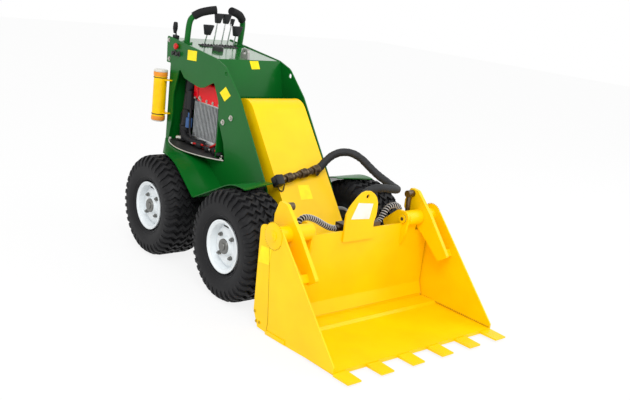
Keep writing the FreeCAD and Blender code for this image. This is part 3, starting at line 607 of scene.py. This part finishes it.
# A lug's middle line: share of its length, distance outwards, distance round the tyre
LUG_PATH = ((0.0, 0.002, 0.0), (0.2, 0.022, 0.019), (0.36, 0.04, 0.001), (0.5, 0.058, 0.02),
            (0.66, 0.076, 0.004), (0.78, 0.0945, 0.016), (0.9, 0.1035, 0.016), (1.0, 0.106, 0.016))
# How far the tread drops towards the side wall
SHOULDER = ((0.062, 0.0), (0.08, 0.004), (0.0945, 0.0145), (0.1035, 0.028), (0.106, 0.046))
# A lug's width as a share of its pitch, its foot's as a share of its top's, and its depth in the carcass
LUG_WIDTH = 0.414
LUG_FOOT = 1.25
LUG_ROOT = 0.008
STUD_RING = 0.056


def make_tyre(name, side, centre, sizes):
    """Carcass spun from its section, with bent lugs over each shoulder."""
    crown = AXLE_Z / 1000 - sizes.lug_height
    tread = ((-0.07, crown - 0.004), (-0.035, crown), (0.035, crown), (0.07, crown - 0.004))
    bm = bmesh.new()
    add_spin(bm, TYRE_BEAD + tread + TYRE_WALL, side, centre, 96)
    for half in SIDES:
        add_lugs(bm, centre, side * half, half, crown, sizes)
    finish_piece("tyre_" + name + "_lugged", bm, "tyre", "wheel_" + name, ("tyre_" + name,),
                 crease=28.0)


def add_lugs(bm, centre, outward, half, crown, sizes):
    """One bent lug, repeated round the tyre."""
    made = bmesh.ops.create_cube(bm, size=1.0)
    bmesh.ops.translate(bm, vec=(0.5, 0, 0), verts=made["verts"])
    verts = set(made["verts"])
    for cut, _, _ in LUG_PATH[1:-1]:
        flat = bmesh.ops.bisect_plane(bm, geom=list(verts) + linked(verts), plane_co=(cut, 0, 0),
                                      plane_no=(1, 0, 0))
        verts |= set(only_verts(flat["geom_cut"]))
    width = 2 * math.pi * crown / sizes.lug_count * LUG_WIDTH
    shift = math.pi / sizes.lug_count if half > 0 else 0.0
    for vert in verts:
        share, across, up = vert.co
        out, arc = between(LUG_PATH, share)
        drop = between(SHOULDER, out)[0]
        if up > 0:
            radius = crown + sizes.lug_height - drop
        else:
            radius = crown - LUG_ROOT - drop
            across *= LUG_FOOT
            out -= 0.004 if share > 0.85 else 0.0
        angle = (arc + across * width) / crown + shift
        vert.co = centre + Vector((outward * out, -radius * math.sin(angle), radius * math.cos(angle)))
    bmesh.ops.spin(bm, geom=list(verts) + linked(verts), cent=centre, axis=(1, 0, 0), angle=2 * math.pi,
                   steps=sizes.lug_count, use_duplicate=True)
    bmesh.ops.delete(bm, geom=list(verts), context="VERTS")


def linked(verts):
    edges = {e for v in verts for e in v.link_edges if all(w in verts for w in e.verts)}
    faces = {f for v in verts for f in v.link_faces if all(w in verts for w in f.verts)}
    return list(edges) + list(faces)


def between(rows, share):
    """Values of a table of rows at a place between two of them."""
    for low, high in zip(rows, rows[1:]):
        if share <= high[0]:
            mix = max(0.0, (share - low[0]) / (high[0] - low[0]))
            return [first + (last - first) * mix for first, last in zip(low[1:], high[1:])]
    return rows[-1][1:]


def make_rim(name, side, centre):
    """Dished disc wheel, its studs, its dark hub cap, and a black plate as painted shade in the slot of its
    disc.
    """
    body = "wheel_" + name
    bm = bmesh.new()
    add_spin(bm, RIM_SECTION, side, centre, 72)
    finish_piece("rim_" + name + "_disc", bm, "rim", body, ("rim_" + name,), crease=40.0)
    bm = bmesh.new()
    axis = Vector((side, 0, 0))
    for cos, sin in ring(4, 45):
        stud = centre + Vector((side * 0.068, STUD_RING * cos, STUD_RING * sin))
        add_bolt(bm, stud, axis, 0.0095, 0.009, washer=False)
        add_rod(bm, stud, stud + axis * 0.016, 0.005, bevel=0.001)
    add_rod(bm, centre + axis * 0.066, centre + axis * 0.0865, 0.033, 0.031, sides=40, bevel=0.003)
    add_rod(bm, centre + axis * 0.086, centre + axis * 0.092, 0.017, 0.015, sides=28, bevel=0.002)
    finish_piece("hub_" + name, bm, "hub", body)
    bm = bmesh.new()
    # The slot through the disc is not cut: a thin black plate on the disc is painted shade of the hollow behind
    # it.
    slot = centre + Vector((side * 0.0685, 0.012, 0.079))
    add_block(bm, slot, (0.0012, 0.034, 0.008), turned(side * 20, "Y"), 0.0005)
    finish_piece("rim_slot_painted_shade_" + name, bm, "black", body)


class LOADER_OT_wheels(bpy.types.Operator):
    """Build the four lugged tyres and their white rims"""
    bl_idname = "loader.wheels"
    bl_label = "Add wheels"

    def execute(self, context):
        sizes = context.scene.loader_sizes
        for name, side, end in WHEELS:
            centre = at(WHEEL_X * side, AXLE_Y * end, AXLE_Z)
            make_tyre(name, side, centre, sizes)
            make_rim(name, side, centre)
        return {"FINISHED"}


# Engine bay, in millimetres as on the left side; the right side mirrors it

COVER_X = 136.2
DUCT = ((128, 480, 490), (132, 484, 560), (130, 480, 640), (126, 474, 720), (122, 466, 800))
# Name, finish and slot, then bars as in add_rods and boxes as in add_blocks
BAY_PIECES = (
    ("block_fins", "alloy", "engine_alloy", (),
     [((124, 205 + 12 * k, 596), (12, 3.5, 190), 1, 1) for k in range(19)] +
     [((123, 313, 694), (12, 238, 14), 3, 2), ((122, 313, 508), (20, 232, 36), 6, 2),
      ((112, 404, 600), (20, 56, 190), 2, 2)]),
    ("cover_ends", "red", "engine_alloy", (), (((116, 406, 738), (40, 56, 70), 8, 3),)),
    ("air_duct", "black", "black_plastic", [(*ends, 26, 20, 4) for ends in zip(DUCT, DUCT[1:])],
     (((116, 508, 560), (50, 50, 120), 10, 3),)),
    ("fuel_filter", "blue", "black_plastic",
     (((140, 446, 556), (140, 446, 604), 16, 20, 4), ((140, 446, 604), (138, 448, 628), 8, 24, 2)), ()),
    ("choke_handle", "red_plastic", "button_plastic",
     (((140, 250, 500), (146, 172, 540), 6, 24, 2), ((146, 300, 492), (150, 252, 500), 9, 24, 3)), ()),
    ("bay_fittings", "zinc", "engine_alloy",
     (((140, 182, 560), (148, 160, 520), 13, 20, 3), ((130, 470, 500), (168, 506, 496), 12, 20, 3)),
     (((130, 430, 780), (30, 50, 20), 4, 2),)),
)
# Centres and sizes of the small blocks on the bay's floor, by finish
CLUTTER = {
    "black": (((146, 452, 506), (30, 44, 34)), ((154, 405, 500), (26, 30, 22)), ((150, 318, 500), (34, 60, 20)),
              ((158, 246, 498), (22, 46, 18)), ((150, 186, 502), (30, 40, 26)), ((160, 138, 497), (20, 36, 14)),
              ((140, 440, 690), (26, 34, 90)), ((136, 176, 650), (24, 26, 60))),
    "zinc": (((162, 470, 500), (12, 20, 12)), ((164, 362, 499), (10, 16, 10)), ((162, 214, 499), (12, 14, 12)),
             ((166, 110, 496), (10, 20, 8))),
    "red_plastic": (((166, 336, 503), (8, 26, 8)), ((160, 288, 507), (8, 18, 8)),
                    ((164, 162, 506), (8, 16, 10))),
}
BAY_WIRES = (((150, 470, 488), (158, 420, 500), (150, 360, 492), (160, 300, 502), (152, 240, 490)),
             ((140, 480, 500), (150, 430, 540), (142, 380, 512), (156, 320, 494), (160, 220, 500)),
             ((120, 200, 500), (150, 170, 520), (160, 150, 500), (158, 120, 490), (150, 100, 489)),
             ((146, 440, 700), (150, 420, 640), (146, 430, 580), (152, 410, 520), (150, 380, 494)))
BAY_HOSE = ((140, 500, 560), (150, 470, 520), (158, 420, 505), (152, 350, 502), (140, 300, 506))


def make_cover_bolts():
    bm = bmesh.new()
    for side in SIDES:
        for y in (206, 258, 310, 362, 414):
            add_bolt(bm, at(COVER_X * side, y, 706), (side, 0, 0), 0.005, 0.004)
        add_bolt(bm, at(COVER_X * side, 372, 712), (side, 0, 0), 0.006, 0.005)
    finish_piece("cover_bolts", bm, "zinc", "chassis")


def make_clutter():
    """Clamps, unions and a coil pack that fill the bay's floor, each turned a little."""
    for finish, rows in CLUTTER.items():
        bm = bmesh.new()
        for k, ((x, y, z), size) in enumerate(rows):
            for side in SIDES:
                add_block(bm, at(side * x, y, z), [edge / 1000 for edge in size],
                          turned(side * (17 * k - 30), "Z"), 0.003)
        finish_piece("bay_clutter_" + finish, bm, finish, "chassis")


def make_wires(side, hand):
    """Thin wires and one ribbed hose on a side of the bay."""
    for k, route in enumerate(BAY_WIRES):
        wire = hose_curve("bay_wire_%d_%s" % (k, hand), mirrored(side, route), 0.009, "black")
        settle(wire, "chassis")
    hose = hose_curve("bay_hose_" + hand, mirrored(side, BAY_HOSE), 0.03, "black")
    line = line_of(hose)
    settle(hose, "chassis")
    add_helix("bay_hose_ribs_" + hand, line, 0.015, 0.009, 0.0022, "black", "chassis", 12)


class LOADER_OT_engine(bpy.types.Operator):
    """Fill the engine bay: finned block, red cover, duct, hoses and wires"""
    bl_idname = "loader.engine"
    bl_label = "Add engine details"

    def execute(self, context):
        for name, finish, slot, rods, blocks in BAY_PIECES:
            bm = bmesh.new()
            add_rods(bm, rods)
            add_blocks(bm, blocks)
            finish_piece(name, bm, finish, "chassis")
        make_cover_bolts()
        make_clutter()
        for side, hand in HANDS:
            make_wires(side, hand)
        return {"FINISHED"}


# Body fittings

SIGN_X = -SIDE_X - 0.8
PATCH_X = -CLAM_X - 0.9
LABEL_Y = -657.2
# Name, finish, body, slot, thickness in metres and outlines of the blank plates
PLATES = (
    ("blank_signs", "sign", "chassis", "tube_yellow", 0.0006, (
        [at(SIGN_X, y, z) for y, z in ((435, 926), (435, 880), (356, 884), (356, 929))],
        [at(SIGN_X, y, z) for y, z in ((100, 808), (143, 776), (100, 744), (57, 776))],
        [at(*corner) for corner in ((-4, 187.3, 914), (6, 177.6, 878), (52, 178.1, 880), (44, 187.6, 915))])),
    ("blank_label", "paper", "bucket", "yellow_paint", 0.0008, (
        [at(x, LABEL_Y, z) for x, z in ((-24, 478), (-54, 414), (44, 407), (56, 469))],)),
    ("blank_side_patch", "sign", "clam", "yellow_paint", 0.0007, (
        [at(PATCH_X, y, z) for y, z in ((-584, 329), (-574, 261), (-641, 270), (-647, 333))],)),
    ("blank_arm_patch", "sign", "arm", "yellow_paint", 0.0006, (
        [on_arm(x, distance, 0.7) for x, distance in ((-44, 430), (20, 430), (22, 366), (-38, 362))],)),
)
# Place of the document tube's middle line, and its low and high end
TUBE = (-218.0, 605.0)
TUBE_ENDS = (572, 796)
# Name, finish and rings on the tube: low end, high end, radius and softened rim
TUBE_PIECES = (
    ("tube_bands", "black", ((594, 598, 33.5, 0.8), (770, 774, 33.5, 0.8))),
    ("tube_collars", "orange", ((566, 586, 33.8, 2), (778, 798, 33.8, 2))),
    ("tube_caps", "clear", ((560, 572, 31, 3), (798, 810, 33.5, 3))),
)
TRAY_EDGE = ((178, 548), (216, 500), (250, 400), (261, 310), (250, 220), (216, 120), (178, 74))


def make_plate_bolts():
    bm = bmesh.new()
    for side in SIDES:
        axis = (side, 0, 0)
        for y, z in ((99, 651), (40, 681)):
            add_rod(bm, at(SIDE_X * side, y, z), at((SIDE_X + 3) * side, y, z), 0.013, sides=28, bevel=0.001)
            add_bolt(bm, at((SIDE_X + 3) * side, y, z), axis, 0.008, 0.006, washer=False)
        for y, z in ((612, 950), (600, 862), (170, 300), (-60, 300), (-200, 420), (440, 300)):
            add_bolt(bm, at(SIDE_X * side, y, z), axis)
    finish_piece("plate_bolts", bm, "zinc", "chassis")


def make_tube():
    """Document tube with its brackets, caps and bands."""
    x, y = TUBE
    bm = bmesh.new()
    add_rod(bm, at(x, y, TUBE_ENDS[0]), at(x, y, TUBE_ENDS[1]), 0.032, sides=48)
    for z in (600, 760):
        add_block(bm, at(x + 20, y - 28, z + 3), (0.036, 0.04, 0.006))
    finish_piece("document_tube_body", bm, "tube", "chassis", ("document_tube",))
    for name, finish, rings in TUBE_PIECES:
        bm = bmesh.new()
        for low, high, radius, bevel in rings:
            add_rod(bm, at(x, y, low), at(x, y, high), radius / 1000, sides=48, bevel=bevel / 1000)
        finish_piece(name, bm, finish, "chassis")


def make_buttons():
    bm = bmesh.new()
    x = -SIDE_X - 0.3
    add_rod(bm, at(x, 533, 929), at(x - 6, 533, 929), 0.010, bevel=0.001)
    add_rod(bm, at(x - 6, 533, 929), at(x - 14, 533, 929), 0.0155, 0.014, sides=32, bevel=0.003)
    finish_piece("stop_button", bm, "red_plastic", "chassis", ("stop_buttons",))
    bm = bmesh.new()
    for y in (548, 512):
        add_rod(bm, at(x, y, 896), at(x - 5, y, 896), 0.013, sides=28, bevel=0.0015)
        add_rod(bm, at(x - 5, y, 896), at(x - 18, y, 896), 0.0085, sides=20, bevel=0.002)
        add_block(bm, at(x - 17, y, 896), (0.006, 0.006, 0.022), bevel=0.002)
    finish_piece("key_switches", bm, "dark_steel", "chassis")


def make_tray_edge():
    """Worn bright lip round the engine tray's bowed edge, and the tray's bolts."""
    for side, hand in HANDS:
        lip = hose_curve("tray_edge_" + hand, [(side * x, y, 482.5) for x, y in TRAY_EDGE], 0.007, "zinc",
                         order=4, steps=12, sides=3, caps=False)
        settle(lip, "chassis")
    bm = bmesh.new()
    for side in SIDES:
        for y in (88, 536):
            add_bolt(bm, at(183 * side, y, 485.5), (0, 0, 1), 0.006, 0.006)
    finish_piece("tray_bolts", bm, "zinc", "chassis")


class LOADER_OT_fittings(bpy.types.Operator):
    """Add bolts, buttons, blank plates, the document tube and the tray's edge"""
    bl_idname = "loader.fittings"
    bl_label = "Add body fittings"

    def execute(self, context):
        make_plate_bolts()
        for name, finish, body, slot, thickness, outlines in PLATES:
            bm = bmesh.new()
            for corners in outlines:
                add_plate(bm, corners, thickness)
            finish_piece(name, bm, finish, body, crease=20)
        make_tube()
        make_buttons()
        make_tray_edge()
        return {"FINISHED"}


# Controls, in millimetres along, over and above the control panel

HANDLE = ((150, 500, 0), (151, 500, 50), (151, 500, 88), (147, 498, 116), (126, 487, 140), (106, 476, 154),
          (72, 464, 165), (48, 457, 171))
GRIP = ((137, 493, 128), (118, 482, 147), (88, 469, 160), (60, 461, 168), (42, 455, 172))
LEVER_RODS = ((-80, 62), (-31, 124), (13, 124), (47, 114), (82, 66))
# Place across the panel, height of the foot, width and height of each paddle
PADDLES = ((-78, 54, 52, 48), (-30, 112, 44, 46), (15, 112, 44, 46), (50, 104, 16, 34), (84, 56, 54, 48))
LEVER_FOOT_Y = 458
LEVER_TOP_Y = 446


def make_handles():
    bm = bmesh.new()
    for side in SIDES:
        add_rod(bm, on_panel(149 * side, 500, 0), on_panel(149 * side, 500, 5), 0.026, sides=36, bevel=0.001)
        for cos, sin in ring(4, 45):
            add_bolt(bm, on_panel(146 * side + 20 * cos, 500 + 20 * sin, 5), (0, -0.11, 1), 0.0035, 0.003,
                     washer=False)
    finish_piece("handle_flanges", bm, "green", "chassis", ("grab_handles",))
    for side, hand in HANDS:
        bar = hose_curve("handle_tube_" + hand, mirrored(side, HANDLE), 0.0276, "green", on_panel, steps=12,
                         sides=6)
        settle(bar, "chassis")
        grip = hose_curve("foam_grip_" + hand, mirrored(side, GRIP), 0.0385, "foam", on_panel)
        settle(grip, "chassis", ("grab_grips",) if side < 0 else ())


def make_levers():
    bm = bmesh.new()
    for x, height in LEVER_RODS:
        add_rod(bm, on_panel(x, LEVER_FOOT_Y, 3), on_panel(x, LEVER_TOP_Y, height), 0.0035, sides=14)
    finish_piece("lever_rods", bm, "chrome", "chassis")
    bm = bmesh.new()
    for x, height, width, tall in PADDLES:
        middle = on_panel(x, LEVER_TOP_Y, height + tall / 2)
        verts = add_block(bm, middle, (width / 1000, 0.024, tall / 1000), bevel=0.005, segments=3)
        for vert in verts:
            share = (vert.co.z - middle.z) / (tall / 1000)
            flare = 0.74 + 0.56 * max(-0.5, min(0.5, share))
            vert.co.x = middle.x + (vert.co.x - middle.x) * flare
            vert.co.y -= 0.008 * share
    finish_piece("lever_paddles", bm, "black", "chassis", ("control_levers",))
    bm = bmesh.new()
    for k in range(26):
        x = -100 + 8 * k
        add_rod(bm, on_panel(x - 4, LEVER_FOOT_Y, 4), on_panel(x + 4, LEVER_FOOT_Y, 9 if k % 2 else 4), 0.0028,
                sides=8)
    for low, high, radius in ((0, 14, 0.026), (14, 20, 0.019)):
        add_rod(bm, on_panel(-60, 370, low), on_panel(-60, 370, high), radius, sides=40, bevel=0.003)
    finish_piece("filler_cap_and_boot", bm, "black", "chassis")
    bm = bmesh.new()
    add_rod(bm, at(-161, 596, 985), at(-163, 592, 1010), 0.007, 0.0125, sides=20, bevel=0.002)
    add_rod(bm, at(-163, 592, 1010), at(-164, 590, 1038), 0.0125, 0.0095, sides=20, bevel=0.004)
    finish_piece("throttle_grip", bm, "black", "chassis")


class LOADER_OT_controls(bpy.types.Operator):
    """Shape the grab handles, the grips and the lever row"""
    bl_idname = "loader.controls"
    bl_label = "Add controls"

    def execute(self, context):
        make_handles()
        make_levers()
        return {"FINISHED"}


# Bucket

EYE_PLATE = ((-82, 322), (-82, 416), (-80, 436), (-66, 462), (-48, 482), (-28, 502), (-8, 517), (14, 523),
             (38, 521), (58, 509), (74, 492), (83, 470), (84, 440), (83, 418), (74, 392), (74, 370), (80, 360),
             (80, 322))
EYE = tuple((23 + 9.5 * cos, 500 + 9.5 * sin) for cos, sin in ring(20))
EYE_PLATE_Y = -656.3
CLAM_ARM_X = 245.8
# Name, finish, radius and reach of what shows of the pins on the clam's arms
PIN_ENDS = (("pin_caps", "yellow", 18.5, 2.5), ("pin_holes", "dark_steel", 7.5, 3.2))


def make_pins():
    """Discs and pin heads outside the clam's sides, caps and holes on its arms."""
    bm = bmesh.new()
    for side in SIDES:
        face = at(CLAM_X * side, *CLAM_PIN)
        out = Vector((side, 0, 0))
        add_rod(bm, face, face + out * 0.0025, 0.05, sides=56, bevel=0.001)
        add_rod(bm, face, face + out * 0.006, 0.02, sides=32, bevel=0.0015)
        add_rod(bm, face + out * 0.0055, face + out * 0.008, 0.008, sides=24, bevel=0.001)
    finish_piece("clam_pin_discs", bm, "yellow", "clam")
    for name, finish, radius, reach in PIN_ENDS:
        bm = bmesh.new()
        add_rods(bm, [((CLAM_ARM_X, *CLAM_PIN), (CLAM_ARM_X - reach, *CLAM_PIN), radius, 32, 0)])
        finish_piece(name, bm, finish, "clam")


def make_eye_plate():
    """Domed lifting plate on the blade's top edge, with its eye, and the strip on the lower edge."""
    bm = bmesh.new()
    edges = []
    for loop in (EYE_PLATE, EYE):
        verts = [bm.verts.new(at(x, EYE_PLATE_Y, z)) for x, z in loop]
        edges += [bm.edges.new((verts[i - 1], verts[i])) for i in range(len(verts))]
    made = bmesh.ops.triangle_fill(bm, edges=edges, use_beauty=True, use_dissolve=False)
    faces = [item for item in made["geom"] if isinstance(item, bmesh.types.BMFace)]
    moved = bmesh.ops.extrude_face_region(bm, geom=faces)
    bmesh.ops.translate(bm, vec=(0, 0.008, 0), verts=only_verts(moved["geom"]))
    finish_piece("eye_plate_domed", bm, "yellow", "bucket", ("eye_plate",), crease=25)
    bm = bmesh.new()
    add_block(bm, at(0, -662.2, 21.5), (0.822, 0.0102, 0.0225), bevel=0.001, segments=1)
    finish_piece("blade_wear_strip", bm, "yellow", "bucket")


def make_welds():
    """Beads and seams along the joints of the clam's sides, and the bars that it slides on."""
    bm = bmesh.new()
    for side in SIDES:
        pin = at((CLAM_X + 0.5) * side, *CLAM_PIN)
        add_beads(bm, [pin + 0.051 * Vector((0, cos, sin)) for cos, sin in ring(30, -150, 10)], 0.0022)
        add_beads(bm, [at(418.5 * side, -690 - 10 * k, 24) for k in range(36)], 0.004)
        seam = [at(425.2 * side, y, z) for y, z in ((-634, 334), (-646, 238), (-668, 50), (-664, 20))]
        for start, end in zip(seam, seam[1:]):
            add_rod(bm, start, end, 0.0014, sides=8)
        for y, z in ((-584, 66), (-597, 30), (-617, 32)):
            add_rod(bm, at(CLAM_X * side, y, z), at((CLAM_X + 2.5) * side, y, z), 0.006, sides=16,
                    bevel=0.0008)
    finish_piece("clam_welds", bm, "weld", "clam")
    bm = bmesh.new()
    for side in SIDES:
        add_block(bm, at((CLAM_X + 2) * side, -720, 13), (0.004, 0.118, 0.017), turned(-2, "X"), 0.001)
    finish_piece("skid_bars", bm, "yellow", "clam")


class LOADER_OT_bucket(bpy.types.Operator):
    """Add weld seams, pin heads and wear strips to the bucket"""
    bl_idname = "loader.bucket"
    bl_label = "Add bucket details"

    def execute(self, context):
        make_pins()
        make_eye_plate()
        make_welds()
        return {"FINISHED"}


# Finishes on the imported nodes

PAINTED = {
    "green": ("side_plate_right", "side_plate_left", "fender_right", "fender_left", "hood_panel", "rear_panel",
              "belly_pan", "chassis_brackets", "grab_handles"),
    "panel": ("control_panel",),
    "yellow": ("lift_arm", "bucket_back", "eye_plate", "clam_shell", "clam_teeth", "clam_arms", "clam_barrels"),
    "red": ("engine_cover",),
    "steel": ("hitch_pin", "hitch_sleeves", "arm_pins", "clam_pins", "lifting_lug"),
    "dark_steel": ("engine_tray", "lever_guide"),
    "black_enamel": ("lift_barrels", "tilt_barrel", "muffler", "rear_bumper", "wheel_motors"),
    "chrome": ("lift_rods", "tilt_rod"),
    "fitting": ("clam_rods", "bucket_ports", "hose_blocks"),
    "alloy": ("engine_block",),
    "black": ("fuel_tank", "control_levers", "throttle_lever"),
}


class LOADER_OT_finishes(bpy.types.Operator):
    """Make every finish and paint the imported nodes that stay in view"""
    bl_idname = "loader.finishes"
    bl_label = "Make finishes"

    def execute(self, context):
        make_materials(context.scene.loader_colours)
        for finish, names in PAINTED.items():
            for name in names:
                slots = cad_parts[name].data.materials
                slots.clear()
                slots.append(materials[finish])
        return {"FINISHED"}


# Stage

CAMERA_PLACE = (-2168.3, -2836.6, 1270.6)
CAMERA_TURN = (41.3, -14.7, 6.7)
CAMERA_LENS = 46.02
WHITE = (1.0, 1.0, 1.0, 1.0)
FLOOR_SHARE = 0.86
# Name, place, size and power of the lamps, which face the loader's middle
LAMPS = (("key", (-2.4, -3.0, 4.2), 2.6, 130.0), ("fill", (3.5, -2.0, 3.0), 3.0, 40.0))
LAMP_TARGET = Vector((0, 0, 0.4))


def set_camera(context):
    """Camera at the photograph's own place, turned by yaw, pitch and roll."""
    yaw, pitch, roll = (math.radians(angle) for angle in CAMERA_TURN)
    forward = Vector((math.sin(yaw) * math.cos(pitch), math.cos(yaw) * math.cos(pitch), math.sin(pitch)))
    right = Vector((math.cos(yaw), -math.sin(yaw), 0.0))
    up = right.cross(forward)
    tilted_right = right * math.cos(roll) + up * math.sin(roll)
    tilted_up = up * math.cos(roll) - right * math.sin(roll)
    data = bpy.data.cameras.new("photo_camera")
    data.sensor_width = 36.0
    data.lens = CAMERA_LENS
    data.clip_end = 60.0
    camera = placed("photo_camera", data)
    view = Matrix((tilted_right, tilted_up, -forward)).transposed().to_4x4()
    camera.matrix_world = Matrix.Translation(at(*CAMERA_PLACE)) @ view
    context.scene.camera = camera


def make_floor():
    bm = bmesh.new()
    bmesh.ops.create_grid(bm, x_segments=1, y_segments=1, size=14.0)
    mesh = bpy.data.meshes.new("floor")
    bm.to_mesh(mesh)
    bm.free()
    finish = Finish("pale_floor", (0.93, 0.93, 0.93), 0.9)
    brighten(finish.tree, finish.shader.outputs[0], "ShaderNodeEmission", FLOOR_SHARE)
    mesh.materials.append(finish.material)
    placed("floor", mesh)


def brighten(tree, shader, kind, share):
    """Show plain white to the camera and to mirrors, by a share."""
    path = tree.nodes.new("ShaderNodeLightPath")
    rays = Socket(tree, path.outputs["Is Camera Ray"]) + Socket(tree, path.outputs["Is Glossy Ray"])
    rays = rays + Socket(tree, path.outputs["Is Transmission Ray"])
    white = tree.nodes.new(kind)
    white.inputs["Color"].default_value = WHITE
    mix = tree.nodes.new("ShaderNodeMixShader")
    plug(tree, mix.inputs[0], rays * share)
    tree.links.new(shader, mix.inputs[1])
    tree.links.new(white.outputs[0], mix.inputs[2])
    target = [node for node in tree.nodes if node.type.startswith("OUTPUT")][0]
    tree.links.new(mix.outputs[0], target.inputs["Surface"])


def set_lamps(context):
    world = bpy.data.worlds.new("studio")
    world.use_nodes = True
    background = world.node_tree.nodes["Background"]
    background.inputs["Strength"].default_value = 0.85
    background.inputs["Color"].default_value = WHITE
    brighten(world.node_tree, background.outputs[0], "ShaderNodeBackground", 1.0)
    context.scene.world = world
    for name, place, size, power in LAMPS:
        data = bpy.data.lights.new(name, "AREA")
        data.size = size
        data.energy = power
        lamp = placed(name, data)
        lamp.location = place
        lamp.rotation_euler = (LAMP_TARGET - Vector(place)).to_track_quat("-Z", "Y").to_euler()
    context.scene.view_settings.view_transform = "Standard"


class LOADER_OT_stage(bpy.types.Operator):
    """Set the pale floor, the lamps and the camera"""
    bl_idname = "loader.stage"
    bl_label = "Set the stage"

    def execute(self, context):
        set_camera(context)
        make_floor()
        set_lamps(context)
        return {"FINISHED"}


class LOADER_PT_panel(bpy.types.Panel):
    """Lists the loader's steps in the sidebar"""
    bl_label = "Loader"
    bl_idname = "LOADER_PT_panel"
    bl_space_type = "VIEW_3D"
    bl_region_type = "UI"
    bl_category = "Loader"

    def draw(self, context):
        for name in LoaderSizes.__annotations__:
            self.layout.prop(context.scene.loader_sizes, name)
        for name in LoaderColours.__annotations__:
            self.layout.prop(context.scene.loader_colours, name)
        for step in STEPS:
            self.layout.operator(step.bl_idname)


STEPS = (LOADER_OT_finishes, LOADER_OT_stage, LOADER_OT_hoses, LOADER_OT_wheels, LOADER_OT_engine,
         LOADER_OT_fittings, LOADER_OT_controls, LOADER_OT_bucket)
CLASSES = (LoaderColours, LoaderSizes) + STEPS + (LOADER_PT_panel,)


def register():
    for item in CLASSES:
        bpy.utils.register_class(item)
    bpy.types.Scene.loader_colours = bpy.props.PointerProperty(type=LoaderColours)
    bpy.types.Scene.loader_sizes = bpy.props.PointerProperty(type=LoaderSizes)


def unregister():
    del bpy.types.Scene.loader_sizes
    del bpy.types.Scene.loader_colours
    for item in reversed(CLASSES):
        bpy.utils.unregister_class(item)


def main():
    register()
    bpy.ops.loader.finishes()
    bpy.ops.loader.stage()
    bpy.ops.loader.hoses()
    bpy.ops.loader.wheels()
    bpy.ops.loader.engine()
    bpy.ops.loader.fittings()
    bpy.ops.loader.controls()
    bpy.ops.loader.bucket()
    bpy.context.view_layer.update()


if __name__ == "__main__":
    main()
